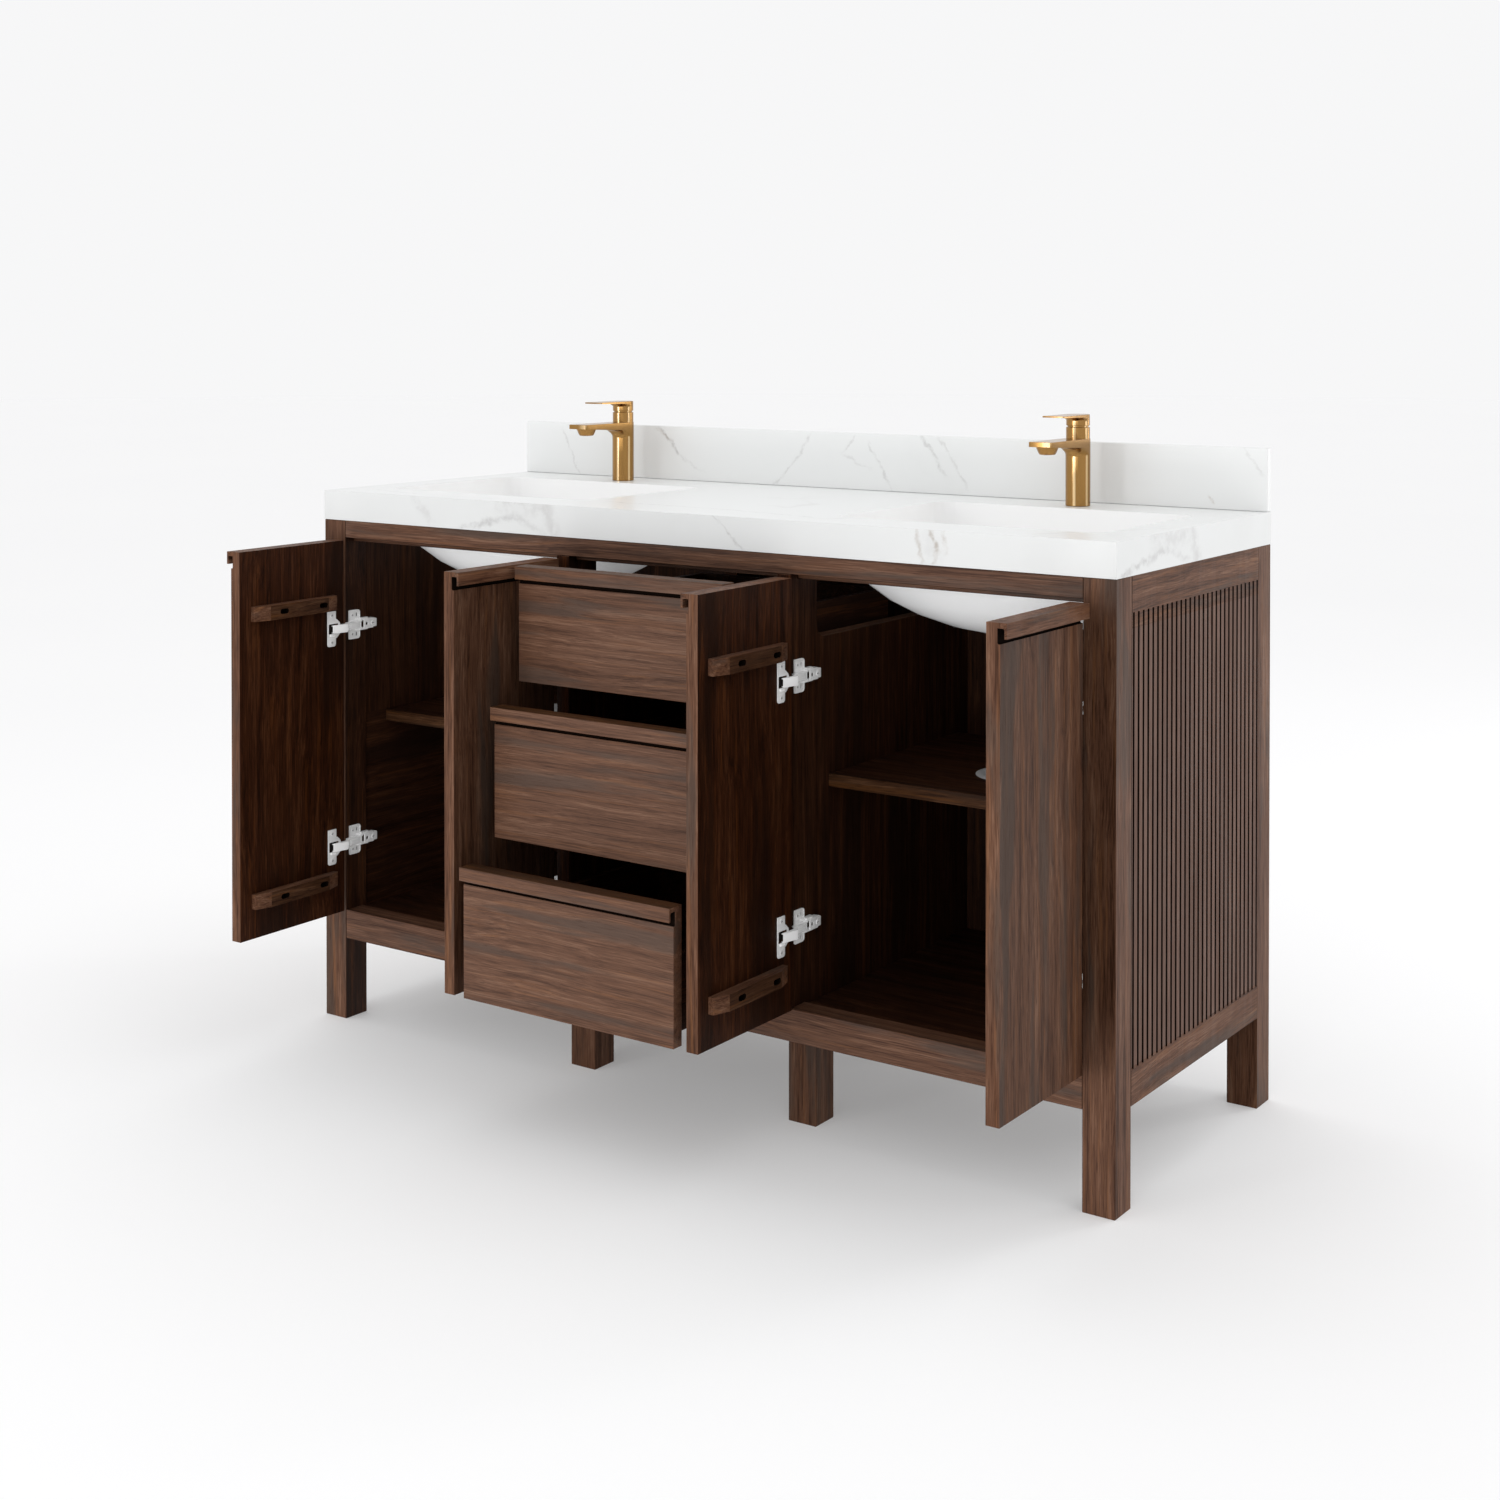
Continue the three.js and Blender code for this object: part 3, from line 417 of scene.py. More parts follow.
def glaze(name):
    """White glazed ceramic with the faintest unevenness, and a painted glow, strongest underneath."""
    made, g, shader = material(name, 0.08, Specular_IOR_Level=0.5, Coat_Weight=0.4, Coat_Roughness=0.04)
    cloud = g.noise(g.coords(), 14.0, 3.0)
    g.put(shader.inputs["Base Color"], g.mix(cloud, (0.91, 0.915, 0.92), (0.94, 0.945, 0.945)))
    # painted light: the glaze glows a little, most where it faces down
    g.put(shader.inputs["Emission Color"], g.mix(cloud, (0.95, 0.97, 0.98), (1.0, 1.0, 1.0)))
    upward = g.split(g.coords("Normal"))[2]
    g.put(shader.inputs["Emission Strength"], g.ramp(upward, -0.7, 0.2, 0.20, 0.07))
    g.put(shader.inputs["Roughness"], g.ramp(cloud, 0.3, 0.7, 0.06, 0.12))
    g.put(shader.inputs["Normal"], g.bump(g.noise(g.coords(), 60.0, 2.0), 0.0002, 0.15))
    return made


SCRATCHES = {"z": (900.0, 900.0, 12.0), "y": (900.0, 12.0, 900.0)}


def brushed(name, colour, dull, roughness, along="z", contrast=0.12, metallic=1.0, painted_highlights=(), painted_glow=0.0):
    """Brushed metal: fine scratches along one axis. The paler bands, given as (direction, colour), are
    painted highlights.

    The glow is painted light, standing in for light that the bright plating throws back."""
    made, g, shader = material(name, roughness, metallic, Emission_Strength=painted_glow)
    lines = g.noise(g.vec("MULTIPLY", g.coords(), SCRATCHES[along]), 1.0, 3.0, 0.6)
    smudge = g.noise(g.coords(), 28.0, 3.0)
    surface = g.mix(g.math("MULTIPLY", lines, 0.8), dull, colour)
    # painted highlights: paler bands where the normal looks along a given direction
    for direction, highlight_tone in painted_highlights:
        band = g.ramp(g.vec("DOT_PRODUCT", g.coords("Normal"), direction), 0.990, 0.9985)
        surface = g.mix(band, surface, highlight_tone)
    g.put(shader.inputs["Base Color"], surface)
    rough = g.math("ADD", g.ramp(lines, 0.2, 0.8, roughness - contrast / 2, roughness + contrast / 2),
                   g.math("MULTIPLY", smudge, 0.05))
    g.put(shader.inputs["Roughness"], rough)
    g.put(shader.inputs["Normal"], g.bump(lines, 0.00008, 0.25))
    return made


# the gold's two paler bands are painted highlights, where the lamps' reflections run down the taps
GOLD = brushed("brushed_gold", (0.42, 0.235, 0.078), (0.31, 0.165, 0.050), 0.16,
               painted_highlights=(((0.153, -0.988, 0.0), (0.86, 0.62, 0.34)),
                         ((0.950, -0.312, 0.0), (0.80, 0.56, 0.30))))
# the nickel glows a little: painted light
NICKEL = brushed("bright_nickel", (0.96, 0.96, 0.955), (0.85, 0.85, 0.85), 0.22, "y", 0.08, 0.13, painted_glow=0.09)
CERAMIC = glaze("white_ceramic")


def make_recess_shade():
    """Brown-black painted shade on thin sheets, for the recesses and holes of the hinges and taps."""
    made, g, shader = material("painted_recess_shade", 0.7, Specular_IOR_Level=0.2)
    spot = g.noise(g.coords(), 220.0, 2.0)
    g.put(shader.inputs["Base Color"], g.mix(spot, (0.012, 0.010, 0.009), (0.028, 0.022, 0.019)))
    return made


RECESS_SHADE = make_recess_shade()


def painted_gap_shade():
    """Matt near-black brown: painted shade, as the bottom of a narrow gap looks."""
    made, g, shader = material("painted_gap_shade", 0.9, Specular_IOR_Level=0.03)
    spot = g.noise(g.coords(), 60.0, 3.0)
    g.put(shader.inputs["Base Color"], g.mix(spot, (0.0042, 0.0022, 0.0014), (0.0090, 0.0046, 0.0028)))
    return made


GAP_SHADE = painted_gap_shade()


# ---- the CAD nodes' finishes ----------------------------------------------------------------
SAME_POINT = 0.00002  # metres
# the angles between two faces from which their edge is shaded sharp, and from which it is rounded
SHARP_OVER, ROUND_OVER = math.radians(30), math.radians(28)


def smoothing_group():
    """Geometry nodes: joins the corners and shades curved surfaces smooth, hard edges sharp."""
    tree = bpy.data.node_groups.new("smooth_curves", "GeometryNodeTree")
    tree.interface.new_socket("Geometry", in_out="INPUT", socket_type="NodeSocketGeometry")
    tree.interface.new_socket("Geometry", in_out="OUTPUT", socket_type="NodeSocketGeometry")
    g = Graph(tree)
    start, end = g.node("NodeGroupInput"), g.node("NodeGroupOutput")
    merge = g.node("GeometryNodeMergeByDistance")
    merge.inputs["Distance"].default_value = SAME_POINT
    forget = g.node("GeometryNodeRemoveAttribute")
    forget.inputs["Name"].default_value = "custom_normal"
    faces = g.node("GeometryNodeSetShadeSmooth", domain="FACE")
    edges = g.node("GeometryNodeSetShadeSmooth", domain="EDGE")
    edges.inputs["Shade Smooth"].default_value = False
    corner = g.node("GeometryNodeInputMeshEdgeAngle")
    hard = g.math("GREATER_THAN", corner.outputs[0], SHARP_OVER)
    g.put(merge.inputs["Geometry"], start.outputs[0])
    g.put(forget.inputs["Geometry"], merge.outputs["Geometry"])
    g.put(faces.inputs["Geometry"], forget.outputs["Geometry"])
    g.put(edges.inputs["Geometry"], faces.outputs["Geometry"])
    g.put(edges.inputs["Selection"], hard)
    g.put(end.inputs[0], edges.outputs["Geometry"])
    return tree


SMOOTHING = smoothing_group()


def soften(obj, width, segments=2):
    """Merges coplanar faces, then rounds the hard edges a little, as real ones are."""
    obj.modifiers.new("smooth", "NODES").node_group = SMOOTHING
    flat = obj.modifiers.new("planes", "DECIMATE")
    flat.decimate_type = "DISSOLVE"
    flat.angle_limit = math.radians(1.0)
    bevel = obj.modifiers.new("edges", "BEVEL")
    bevel.width = width
    bevel.segments = segments
    bevel.limit_method = "ANGLE"
    bevel.angle_limit = ROUND_OVER
    bevel.harden_normals = False
    normal = obj.modifiers.new("normals", "WEIGHTED_NORMAL")
    normal.keep_sharp = True


def repaint(obj, boxes, look=GAP_SHADE):
    """Gives the faces whose centre lies in one of the boxes (low, high corners) another finish."""
    tree = bpy.data.node_groups.new("repainted_faces", "GeometryNodeTree")
    tree.interface.new_socket("Geometry", in_out="INPUT", socket_type="NodeSocketGeometry")
    tree.interface.new_socket("Geometry", in_out="OUTPUT", socket_type="NodeSocketGeometry")
    g = Graph(tree)
    start, end = g.node("NodeGroupInput"), g.node("NodeGroupOutput")
    centre = g.split(g.node("GeometryNodeInputPosition").outputs[0])
    lean = g.split(g.node("GeometryNodeInputNormal").outputs[0])
    chosen = None
    for low, high, skipped in boxes:
        inside = None
        for axis in range(3):
            test = g.math("MULTIPLY", g.math("GREATER_THAN", centre[axis], low[axis]),
                          g.math("LESS_THAN", centre[axis], high[axis]))
            inside = test if inside is None else g.math("MULTIPLY", inside, test)
        if skipped is not None:
            inside = g.math("MULTIPLY", inside, g.math("LESS_THAN", g.math("ABSOLUTE", lean[skipped]), 0.6))
        chosen = inside if chosen is None else g.math("MAXIMUM", chosen, inside)
    paint = g.node("GeometryNodeSetMaterial")
    paint.inputs["Material"].default_value = look
    g.put(paint.inputs["Geometry"], start.outputs[0])
    g.put(paint.inputs["Selection"], g.math("GREATER_THAN", chosen, 0.5))
    g.put(end.inputs[0], paint.outputs[0])
    obj.modifiers.new("repaint", "NODES").node_group = tree


def span(x, y, z, skipped=None):
    """A box for repaint from three (low, high) pairs in metres, in any order."""
    pairs = [sorted(pair) for pair in (x, y, z)]
    return [pair[0] for pair in pairs], [pair[1] for pair in pairs], skipped


EVERYWHERE = (-9.0, 9.0)


def finish(node, look, bevel=None, segments=2):
    """Gives a CAD node its material, and rounds its edges or only smooths its curves."""
    obj = NODES[node]
    mesh = obj.data
    for index in range(max(1, len(obj.material_slots))):
        if len(obj.material_slots) <= index:
            mesh.materials.append(look)
        obj.material_slots[index].material = look
    if bevel:
        soften(obj, bevel, segments)
    else:
        obj.modifiers.new("smooth", "NODES").node_group = SMOOTHING


# each piece of wood is cut from its own place in the figure
SEEDS = itertools.count(1.0)

# ---- frame, side screens and stone ----------------------------------------------------------
# the painted shade of the side screens' slots: from the panel behind them to just inside the slats' faces
SLOT_SHADE = (0.70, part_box("side_screen_right")[1].x - 0.0009)
# heights in metres of the side screens' rails and of the cupboards below the shelves
SCREEN_TOP_RAIL = (0.803, 0.9)
SCREEN_BASE_RAIL = (0.10, 0.196)
LOWER_CUPBOARD = (0.0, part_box("shelf_right")[1].z + 0.001)
# the posts' front faces are matt. Painted shade darkens them from this height up, over POST_FADE,
# and pales again near the top
POSTS = {"post_front": 0.17, "post_rear": -0.3}
POST_FADE = 0.14
POST_TOP = (0.875, 0.80)
for side, sign in SIDES:
    inwards = (-sign, 0, 0)
    for place, low in POSTS.items():
        shaded = both(facing((0, -1, 0)), both(rising(low, low + POST_FADE), rising(*POST_TOP)))
        # painted shade: the inner faces and the front's shaded stretch take darker walnut
        painted_shade = [(facing(inwards), "z", INSIDE_SHADE), (shaded, "z", SHADE)]
        cut, front = next(SEEDS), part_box(f"{place}_{side}")[0].y
        finish(f"{place}_{side}", wood(f"walnut_{place}_{side}", "z", cut, zones=painted_shade, gloss=0.14), 0.0012)
        # painted sheen: the matt front faces take paler walnut
        face = wood(f"walnut_{place}_face_{side}", "z", cut, PAINTED_SHEEN, painted_shade, gloss=0.03)
        flat = span(EVERYWHERE, (front - 0.001, front + 0.0004), EVERYWHERE)
        repaint(NODES[f"{place}_{side}"], [flat], face)
    # painted shade: the middle legs take the half-shaded walnut
    for place in ("leg_mid_front", "leg_mid_rear"):
        finish(f"{place}_{side}", wood(f"walnut_{place}_{side}", "z", next(SEEDS), HALF_SHADE, gloss=0.08), 0.001)
    rails = [(between("z", *SCREEN_TOP_RAIL), "y", WALNUT), (between("z", *SCREEN_BASE_RAIL), "y", WALNUT)]
    screen = wood(f"walnut_screen_{side}", "z", next(SEEDS), SLAT, rails, gloss=0.10)
    finish(f"side_screen_{side}", screen, 0.0004, 1)
    # painted shade: the slots' walls take the near-black of a deep gap
    slots = (SCREEN_BASE_RAIL[1] + 0.001, SCREEN_TOP_RAIL[0] - 0.001)
    repaint(NODES[f"side_screen_{side}"], [span([sign * x for x in SLOT_SHADE], EVERYWHERE, slots)])
    # painted shade: the side panels are darker walnut inside the cupboards
    low_panel = [(between("z", *LOWER_CUPBOARD), "y", INSIDE_SHADE)]
    panel = wood(f"inside_panel_{side}", "z", next(SEEDS), INSIDE_SHADE, low_panel, gloss=0.12)
    finish(f"side_panel_{side}", panel)
    # painted shade: the dividers are darker walnut, their front faces darker still
    edges = [(facing((0, -1, 0)), "z", DEEP_SHADE), (facing((0, 0, 1)), "y", WALNUT)]
    divider = wood(f"walnut_divider_{side}", "z", next(SEEDS), INSIDE_SHADE, edges, gloss=0.06)
    finish(f"divider_{side}", divider, 0.0008)
    # painted shade: the shelves and their front edges are darker walnut
    shaded_edge_zones = [(facing((0, -1, 0)), "x", EDGE)]
    shelf = wood(f"walnut_shelf_{side}", "x", next(SEEDS), INSIDE_SHADE, shaded_edge_zones, gloss=0.06)
    finish(f"shelf_{side}", shelf, 0.0008)
    finish(f"sink_bowl_{side}", CERAMIC)
    for part in ("waste", "stopper"):
        finish(f"{part}_{side}", GOLD, 0.0006)
    finish(f"tap_cartridge_{side}", GOLD)

# painted shade: the front rails' undersides and backs take the cupboards' darker walnut
RAIL_SHADE_ZONES = [(facing((0, 0, -1)), "x", INSIDE_SHADE), (facing((0, 1, 0)), "x", INSIDE_SHADE)]
for place in ("top", "bottom"):
    rail = wood(f"walnut_rail_{place}", "x", next(SEEDS), zones=RAIL_SHADE_ZONES, wander=0.5, fine=1.25)
    finish(f"rail_front_{place}", rail, 0.001)
# painted shade: the cupboards' floor and back are darker walnut
finish("floor_panel", wood("inside_floor", "x", next(SEEDS), INSIDE_SHADE, gloss=0.12))
finish("back_panel", wood("inside_back", "z", next(SEEDS), INSIDE_SHADE, gloss=0.12))
# painted shade: the worktop's upright faces are darker than the stone; painted light: the backsplash's
# upright faces are paler
finish("worktop", marble("marble_top", TOP_VEINS, 3.0, (0.765, 0.775, 0.77), True), 0.0012)
finish("backsplash", marble("marble_splash", SPLASH_VEINS, 7.0, (0.84, 0.85, 0.845)), 0.001)

# ---- doors and drawers ----------------------------------------------------------------------
def slab(face, out, start, end):
    """Zone test: from start to end metres off a face in X, along the direction out."""
    return between("x", *sorted((face + out * start, face + out * end)))


# thickness of a door leaf, and how far a pull lip stands out from a door or drawer
LEAF, LIP = 0.020, 0.010
LIP_HEIGHTS = (0.8, 0.9)  # the doors' pull lips lie between these
CREST = 0.0176  # from the leaf to just under the battens' crests
# the groove behind a pull lip: its depth, and its two edges below the top
GROOVE_DEPTH = 0.0043
GROOVE_LOW, GROOVE_HIGH = 0.0278, 0.0071
# the battens' oval holes: distances from the leaf's hinged edge, heights and half sizes
HOLE_COLUMNS, HOLE_ROWS = (0.0638, 0.1529), (0.2585, 0.738)
HOLE_HALF_LENGTH, HOLE_HALF_HEIGHT = 0.0097, 0.0046
# the direction in X in which the outer face of each open leaf looks
LEAVES = {1: -1, 2: 1, 3: -1, 4: 1}
for number, out in LEAVES.items():
    low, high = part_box(f"door_{number}")
    front = (high.x if out > 0 else low.x) - out * LIP
    back = front - out * LEAF
    painted_shade, skin = slab(back, out, -0.0004, 0.03), slab(front, out, -0.001, 0.0002)
    battens, crest = slab(back, -out, 0.0006, 0.03), slab(back, -out, CREST, 0.03)
    lip = both(slab(front, out, 0.0004, 0.02), between("z", *LIP_HEIGHTS))
    # painted shade: the leaves' inner faces, outer faces and battens' crests take darker walnut
    leaf_zones = [
        (both(facing((-out, 0, 0)), painted_shade), "z", DEEP_SHADE),
        (both(facing((out, 0, 0)), skin), "z", HALF_SHADE if number > 2 else SHADE),
        (battens, "y", WALNUT),
        (both(facing((-out, 0, 0)), crest), "y", BATTEN_CREST_SHADE),
        (lip, "y", WALNUT),
    ]
    leaf = wood(f"walnut_door_{number}", "z", next(SEEDS), zones=leaf_zones, gloss=0.09)
    finish(f"door_{number}", leaf, 0.0008)
    # painted shade: near-black in the groove behind the lip and in the battens' oval holes
    deep = [span((front - out * GROOVE_DEPTH, front - out * 0.0003), EVERYWHERE,
                 (high.z - GROOVE_LOW, high.z - GROOVE_HIGH), 1)]
    for column, row in itertools.product(HOLE_COLUMNS, HOLE_ROWS):
        middle = high.y - column
        deep.append(span((back, back - out * CREST),
                         (middle - HOLE_HALF_LENGTH, middle + HOLE_HALF_LENGTH),
                         (row - HOLE_HALF_HEIGHT, row + HOLE_HALF_HEIGHT)))
    repaint(NODES[f"door_{number}"], deep)

for name in ("top", "middle", "bottom"):
    low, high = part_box(f"drawer_front_{name}")
    skin, rim = low.y + LIP, high.z
    # painted shade: the lip's top takes darker golden walnut, the back the cupboards' darker walnut
    front_zones = [
        (between("z", rim - 0.0004, rim + 0.01, (0, 0, 1)), "x", LIP_TOP_SHADE),
        (facing((0, 1, 0)), "x", INSIDE_SHADE),
    ]
    front = wood(f"walnut_drawer_{name}", "x", next(SEEDS), CALM, front_zones, wander=0.8, fine=1.45)
    finish(f"drawer_front_{name}", front, 0.0008)
    # painted shade: near-black in the groove behind the pull lip
    groove = span(EVERYWHERE, (skin + 0.0003, skin + GROOVE_DEPTH), (rim - GROOVE_LOW, rim - GROOVE_HIGH), 0)
    repaint(NODES[f"drawer_front_{name}"], [groove])
    # painted shade: the drawer boxes are darker walnut
    finish(f"drawer_box_{name}", wood(f"inside_drawer_{name}", "y", next(SEEDS), INSIDE_SHADE, gloss=0.1), 0.0008)


# ---- pieces built here ----------------------------------------------------------------------
def rounded(x0, x1, y0, y1, radii, steps=5):
    """Outline of a rectangle; radii are for its corners from (x0, y0), anticlockwise."""
    points = []
    corners = ((x0, y0, 180), (x1, y0, 270), (x1, y1, 0), (x0, y1, 90))
    for (cx, cy, start), r in zip(corners, radii):
        ox = cx + (r if cx == x0 else -r)
        oy = cy + (r if cy == y0 else -r)
        for i in range(steps + 1):
            turn = math.radians(start + 90 * i / steps)
            points.append((ox + r * math.cos(turn), oy + r * math.sin(turn)))
    return points


def plate(outlines, low, high, bevel=0.25):
    """A flat plate from outlines (the first is its edge, the rest are holes) between two heights."""
    data = bpy.data.curves.new("outline", "CURVE")
    data.dimensions = "2D"
    data.fill_mode = "BOTH"
    data.extrude = (high - low) / 2 - bevel
    data.bevel_depth = bevel
    data.offset = -bevel
    data.bevel_resolution = 1
    for outline in outlines:
        spline = data.splines.new("POLY")
        spline.points.add(len(outline) - 1)
        for point, (x, y) in zip(spline.points, outline):
            point.co = (x, y, 0.0, 1.0)
        spline.use_cyclic_u = True
    holder = bpy.data.objects.new("outline", data)
    SCENE.collection.objects.link(holder)
    graph = bpy.context.evaluated_depsgraph_get()
    mesh = bpy.data.meshes.new_from_object(holder.evaluated_get(graph))
    bpy.data.objects.remove(holder)
    bpy.data.curves.remove(data)
    mesh.transform(Matrix.Translation((0.0, 0.0, (low + high) / 2)))
    return mesh


def lofted(rings):
    """A closed body through rings of equally many points."""
    bm = bmesh.new()
    rows = [[bm.verts.new(point) for point in points] for points in rings]
    for low, high in zip(rows, rows[1:]):
        for i in range(len(low)):
            j = (i + 1) % len(low)
            bm.faces.new((low[i], low[j], high[j], high[i]))
    bm.faces.new(list(reversed(rows[0])))
    bm.faces.new(rows[-1])
    bmesh.ops.remove_doubles(bm, verts=bm.verts, dist=1e-5)
    bmesh.ops.recalc_face_normals(bm, faces=bm.faces)
    mesh = bpy.data.meshes.new("lofted")
    bm.to_mesh(mesh)
    bm.free()
    return mesh


def circle(r, z, steps):
    turns = [math.tau * i / steps for i in range(steps)]
    return [(r * math.cos(turn), r * math.sin(turn), z) for turn in turns]


def turned(profile, steps=20):
    """A body turned about Z from (radius, height) pairs, bottom first."""
    return lofted([circle(r, z, steps) for r, z in profile])


PIECE_SHARP_OVER = math.radians(32)
# stands a plate up: (x, y, z) becomes (x, -z, y)
SWAP_SIDE = Matrix(((1, 0, 0, 0), (0, 0, -1, 0), (0, 1, 0, 0), (0, 0, 0, 1)))


def moved(mesh, x=0.0, y=0.0, z=0.0, turn=None):
    """The mesh itself, turned about the origin and then shifted."""
    if turn:
        mesh.transform(turn)
    mesh.transform(Matrix.Translation((x, y, z)))
    return mesh


def build(name, parts, transform, body, replaced=()):
    """Joins (mesh, material) parts, drawn in millimetres, into one piece on a body."""
    bm = bmesh.new()
    looks = []
    for mesh, look in parts:
        if look not in looks:
            looks.append(look)
        start = len(bm.faces)
        bm.from_mesh(mesh)
        bm.faces.ensure_lookup_table()
        for face in bm.faces[start:]:
            face.material_index = looks.index(look)
            face.smooth = True
        bpy.data.meshes.remove(mesh)
    bmesh.ops.remove_doubles(bm, verts=bm.verts, dist=1e-4)
    bm.transform(transform)
    if transform.determinant() < 0:
        bmesh.ops.reverse_faces(bm, faces=bm.faces)
    made = bpy.data.meshes.new(name)
    bm.to_mesh(made)
    bm.free()
    for look in looks:
        made.materials.append(look)
    made.set_sharp_from_angle(angle=PIECE_SHARP_OVER)
    obj = bpy.data.objects.new(name, made)
    SCENE.collection.objects.link(obj)
    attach(obj, body)
    if replaced:
        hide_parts(*replaced)
    return obj


# Hinges are drawn in (depth from the worktop's front, height from the hinge's centre, distance
# from the face that carries it), in millimetres.
def wall(outline, low, high, bevel=0.2):
    """A plate that stands across the height: outline is in (depth, distance from the face)."""
    return moved(plate([outline], -high, -low, bevel), turn=SWAP_SIDE)


def screw(x, y, z, radius, height=0.9):
    """Countersunk screw head with a cross recess, drawn as thin dark bars: painted shade."""
    head = turned([(radius, 0.0), (radius, height * 0.45), (radius * 0.8, height)], 18)
    reach, half = radius * 0.62, 0.35
    # painted shade: the cross recess is two thin dark bars on the head
    flat = plate([rounded(-reach, reach, -half, half, (0.1,) * 4, 1)], height, height + 0.04, 0.0)
    upright = plate([rounded(-half, half, -reach, reach, (0.1,) * 4, 1)], height, height + 0.05, 0.0)
    return [(moved(head, x, y, z), NICKEL), (moved(flat, x, y, z), RECESS_SHADE), (moved(upright, x, y, z), RECESS_SHADE)]


def pin(radius, half, u, v, w):
    """A pin or disc whose axis runs along the height, from its middle."""
    upright = Matrix.Rotation(math.radians(90), 4, "X")
    return moved(turned([(radius, -half), (radius, half)], 14), u, v, w, upright), NICKEL


def hinge_arm_parts():
    """Mounting plate and arm, fixed to the carcass."""
    parts = []
    edge = rounded(7.6, 34.0, -25.5, 25.5, (2.0, 5.5, 5.5, 2.0))
    holes = [rounded(24.6, 27.8, side * 17.0 - 3.4, side * 17.0 + 3.4, (1.5,) * 4, 4) for side in (-1, 1)]
    parts.append((plate([edge, *holes], 0.1, 2.0), NICKEL))
    lip = rounded(9.4, 32.2, -23.7, 23.7, (1.2, 3.8, 3.8, 1.2))
    parts.append((plate([edge, lip], 1.9, 2.7), NICKEL))
    # painted shade: a thin dark sheet under the mounting plate
    parts.append((plate([rounded(8.6, 33.0, -24.0, 24.0, (1,) * 4)], 0.05, 0.12, 0.0), RECESS_SHADE))
    for side in (-1, 1):
        parts += screw(15.0, side * 16.6, 2.0, 3.1)
        parts.append((wall([(8.0, 1.0), (8.0, 2.9), (21.8, 3.1), (23.6, 9.5), (46.0, 9.5), (50.0, 5.0),
                            (50.0, 1.0)], side * 9.9 - 0.6, side * 9.9 + 0.6), NICKEL))
        parts.append((wall([(22.4, 2.0), (22.0, 9.5), (25.0, 12.4), (56.0, 12.4), (60.0, 9.0), (60.0, 2.0)],
                           side * 7.9 - 0.75, side * 7.9 + 0.75), NICKEL))
    roof = rounded(33.4, 52.0, -8.6, 8.6, (1.0,) * 4)
    parts.append((plate([roof, rounded(38.2, 43.4, -2.9, 2.9, (2.5,) * 4)], 11.2, 12.5), NICKEL))
    # painted shade: a thin dark sheet under the hole in the arm's roof
    parts.append((plate([rounded(36.5, 45.0, -4.2, 4.2, (2,) * 4)], 8.0, 8.2, 0.0), RECESS_SHADE))
    for low in (-6.6, -2.2, 2.2, 6.6):
        parts.append((plate([rounded(33.6, 37.4, low - 0.8, low + 0.8, (0.6,) * 4)], 12.4, 13.1), NICKEL))
    parts.append((plate([rounded(44.0, 65.5, -7.2, 7.2, (0.8, 1.5, 1.5, 0.8))], 10.4, 11.6), NICKEL))
    parts.append((plate([rounded(64.0, 65.5, -7.2, 7.2, (0.5,) * 4)], 3.0, 10.8), NICKEL))
    parts += screw(54.5, 0.0, 12.0, 4.2, 1.4)
    return [*parts, pin(1.6, 8.6, 28.5, 0.0, 9.0), pin(2.6, 1.0, 28.5, 10.4, 9.0)]


def hinge_link_parts():
    """The turning link with its bent elbow, which reaches from the arm to the cup."""
    parts = []
    body = [(28.5, 5.0), (32.4, 8.0), (32.4, 10.0), (29.5, 12.6), (3.0, 12.8), (-8.0, 17.5), (-15.0, 23.5),
            (-18.0, 24.6), (-22.0, 24.8), (-46.0, 19.4), (-47.5, 17.6), (-47.0, 15.6), (-20.0, 16.6),
            (-12.0, 14.0), (-6.0, 6.4), (2.0, 5.0)]
    for side in (-1, 1):
        parts.append((wall(body, side * 5.9 - 0.7, side * 5.9 + 0.7), NICKEL))
    bends = [(-46.6, 18.6), (-40.0, 20.7), (-31.0, 22.9), (-22.0, 25.0), (-18.5, 25.0)]
    outer = [(u, w + 0.9) for u, w in bends]
    inner = [(u, w - 0.5) for u, w in reversed(bends)]
    parts.append((wall(outer + inner, -6.9, 6.9, 0.5), ELBOW))
    parts.append((wall([(-14.5, 23.4), (-7.5, 18.0), (-8.0, 17.0), (-15.0, 22.0)], -5.4, 5.4), NICKEL))
    parts.append((plate([rounded(2.0, 24.0, -5.3, 5.3, (0.8,) * 4)], 11.2, 12.4), NICKEL))
    for low in (-3.6, 0.0, 3.6):
        parts.append((plate([rounded(3.0, 23.5, low - 0.7, low + 0.7, (0.5,) * 4)], 12.3, 13.0), NICKEL))
    return [*parts, pin(1.9, 6.6, -42.5, 0.0, 17.4)]


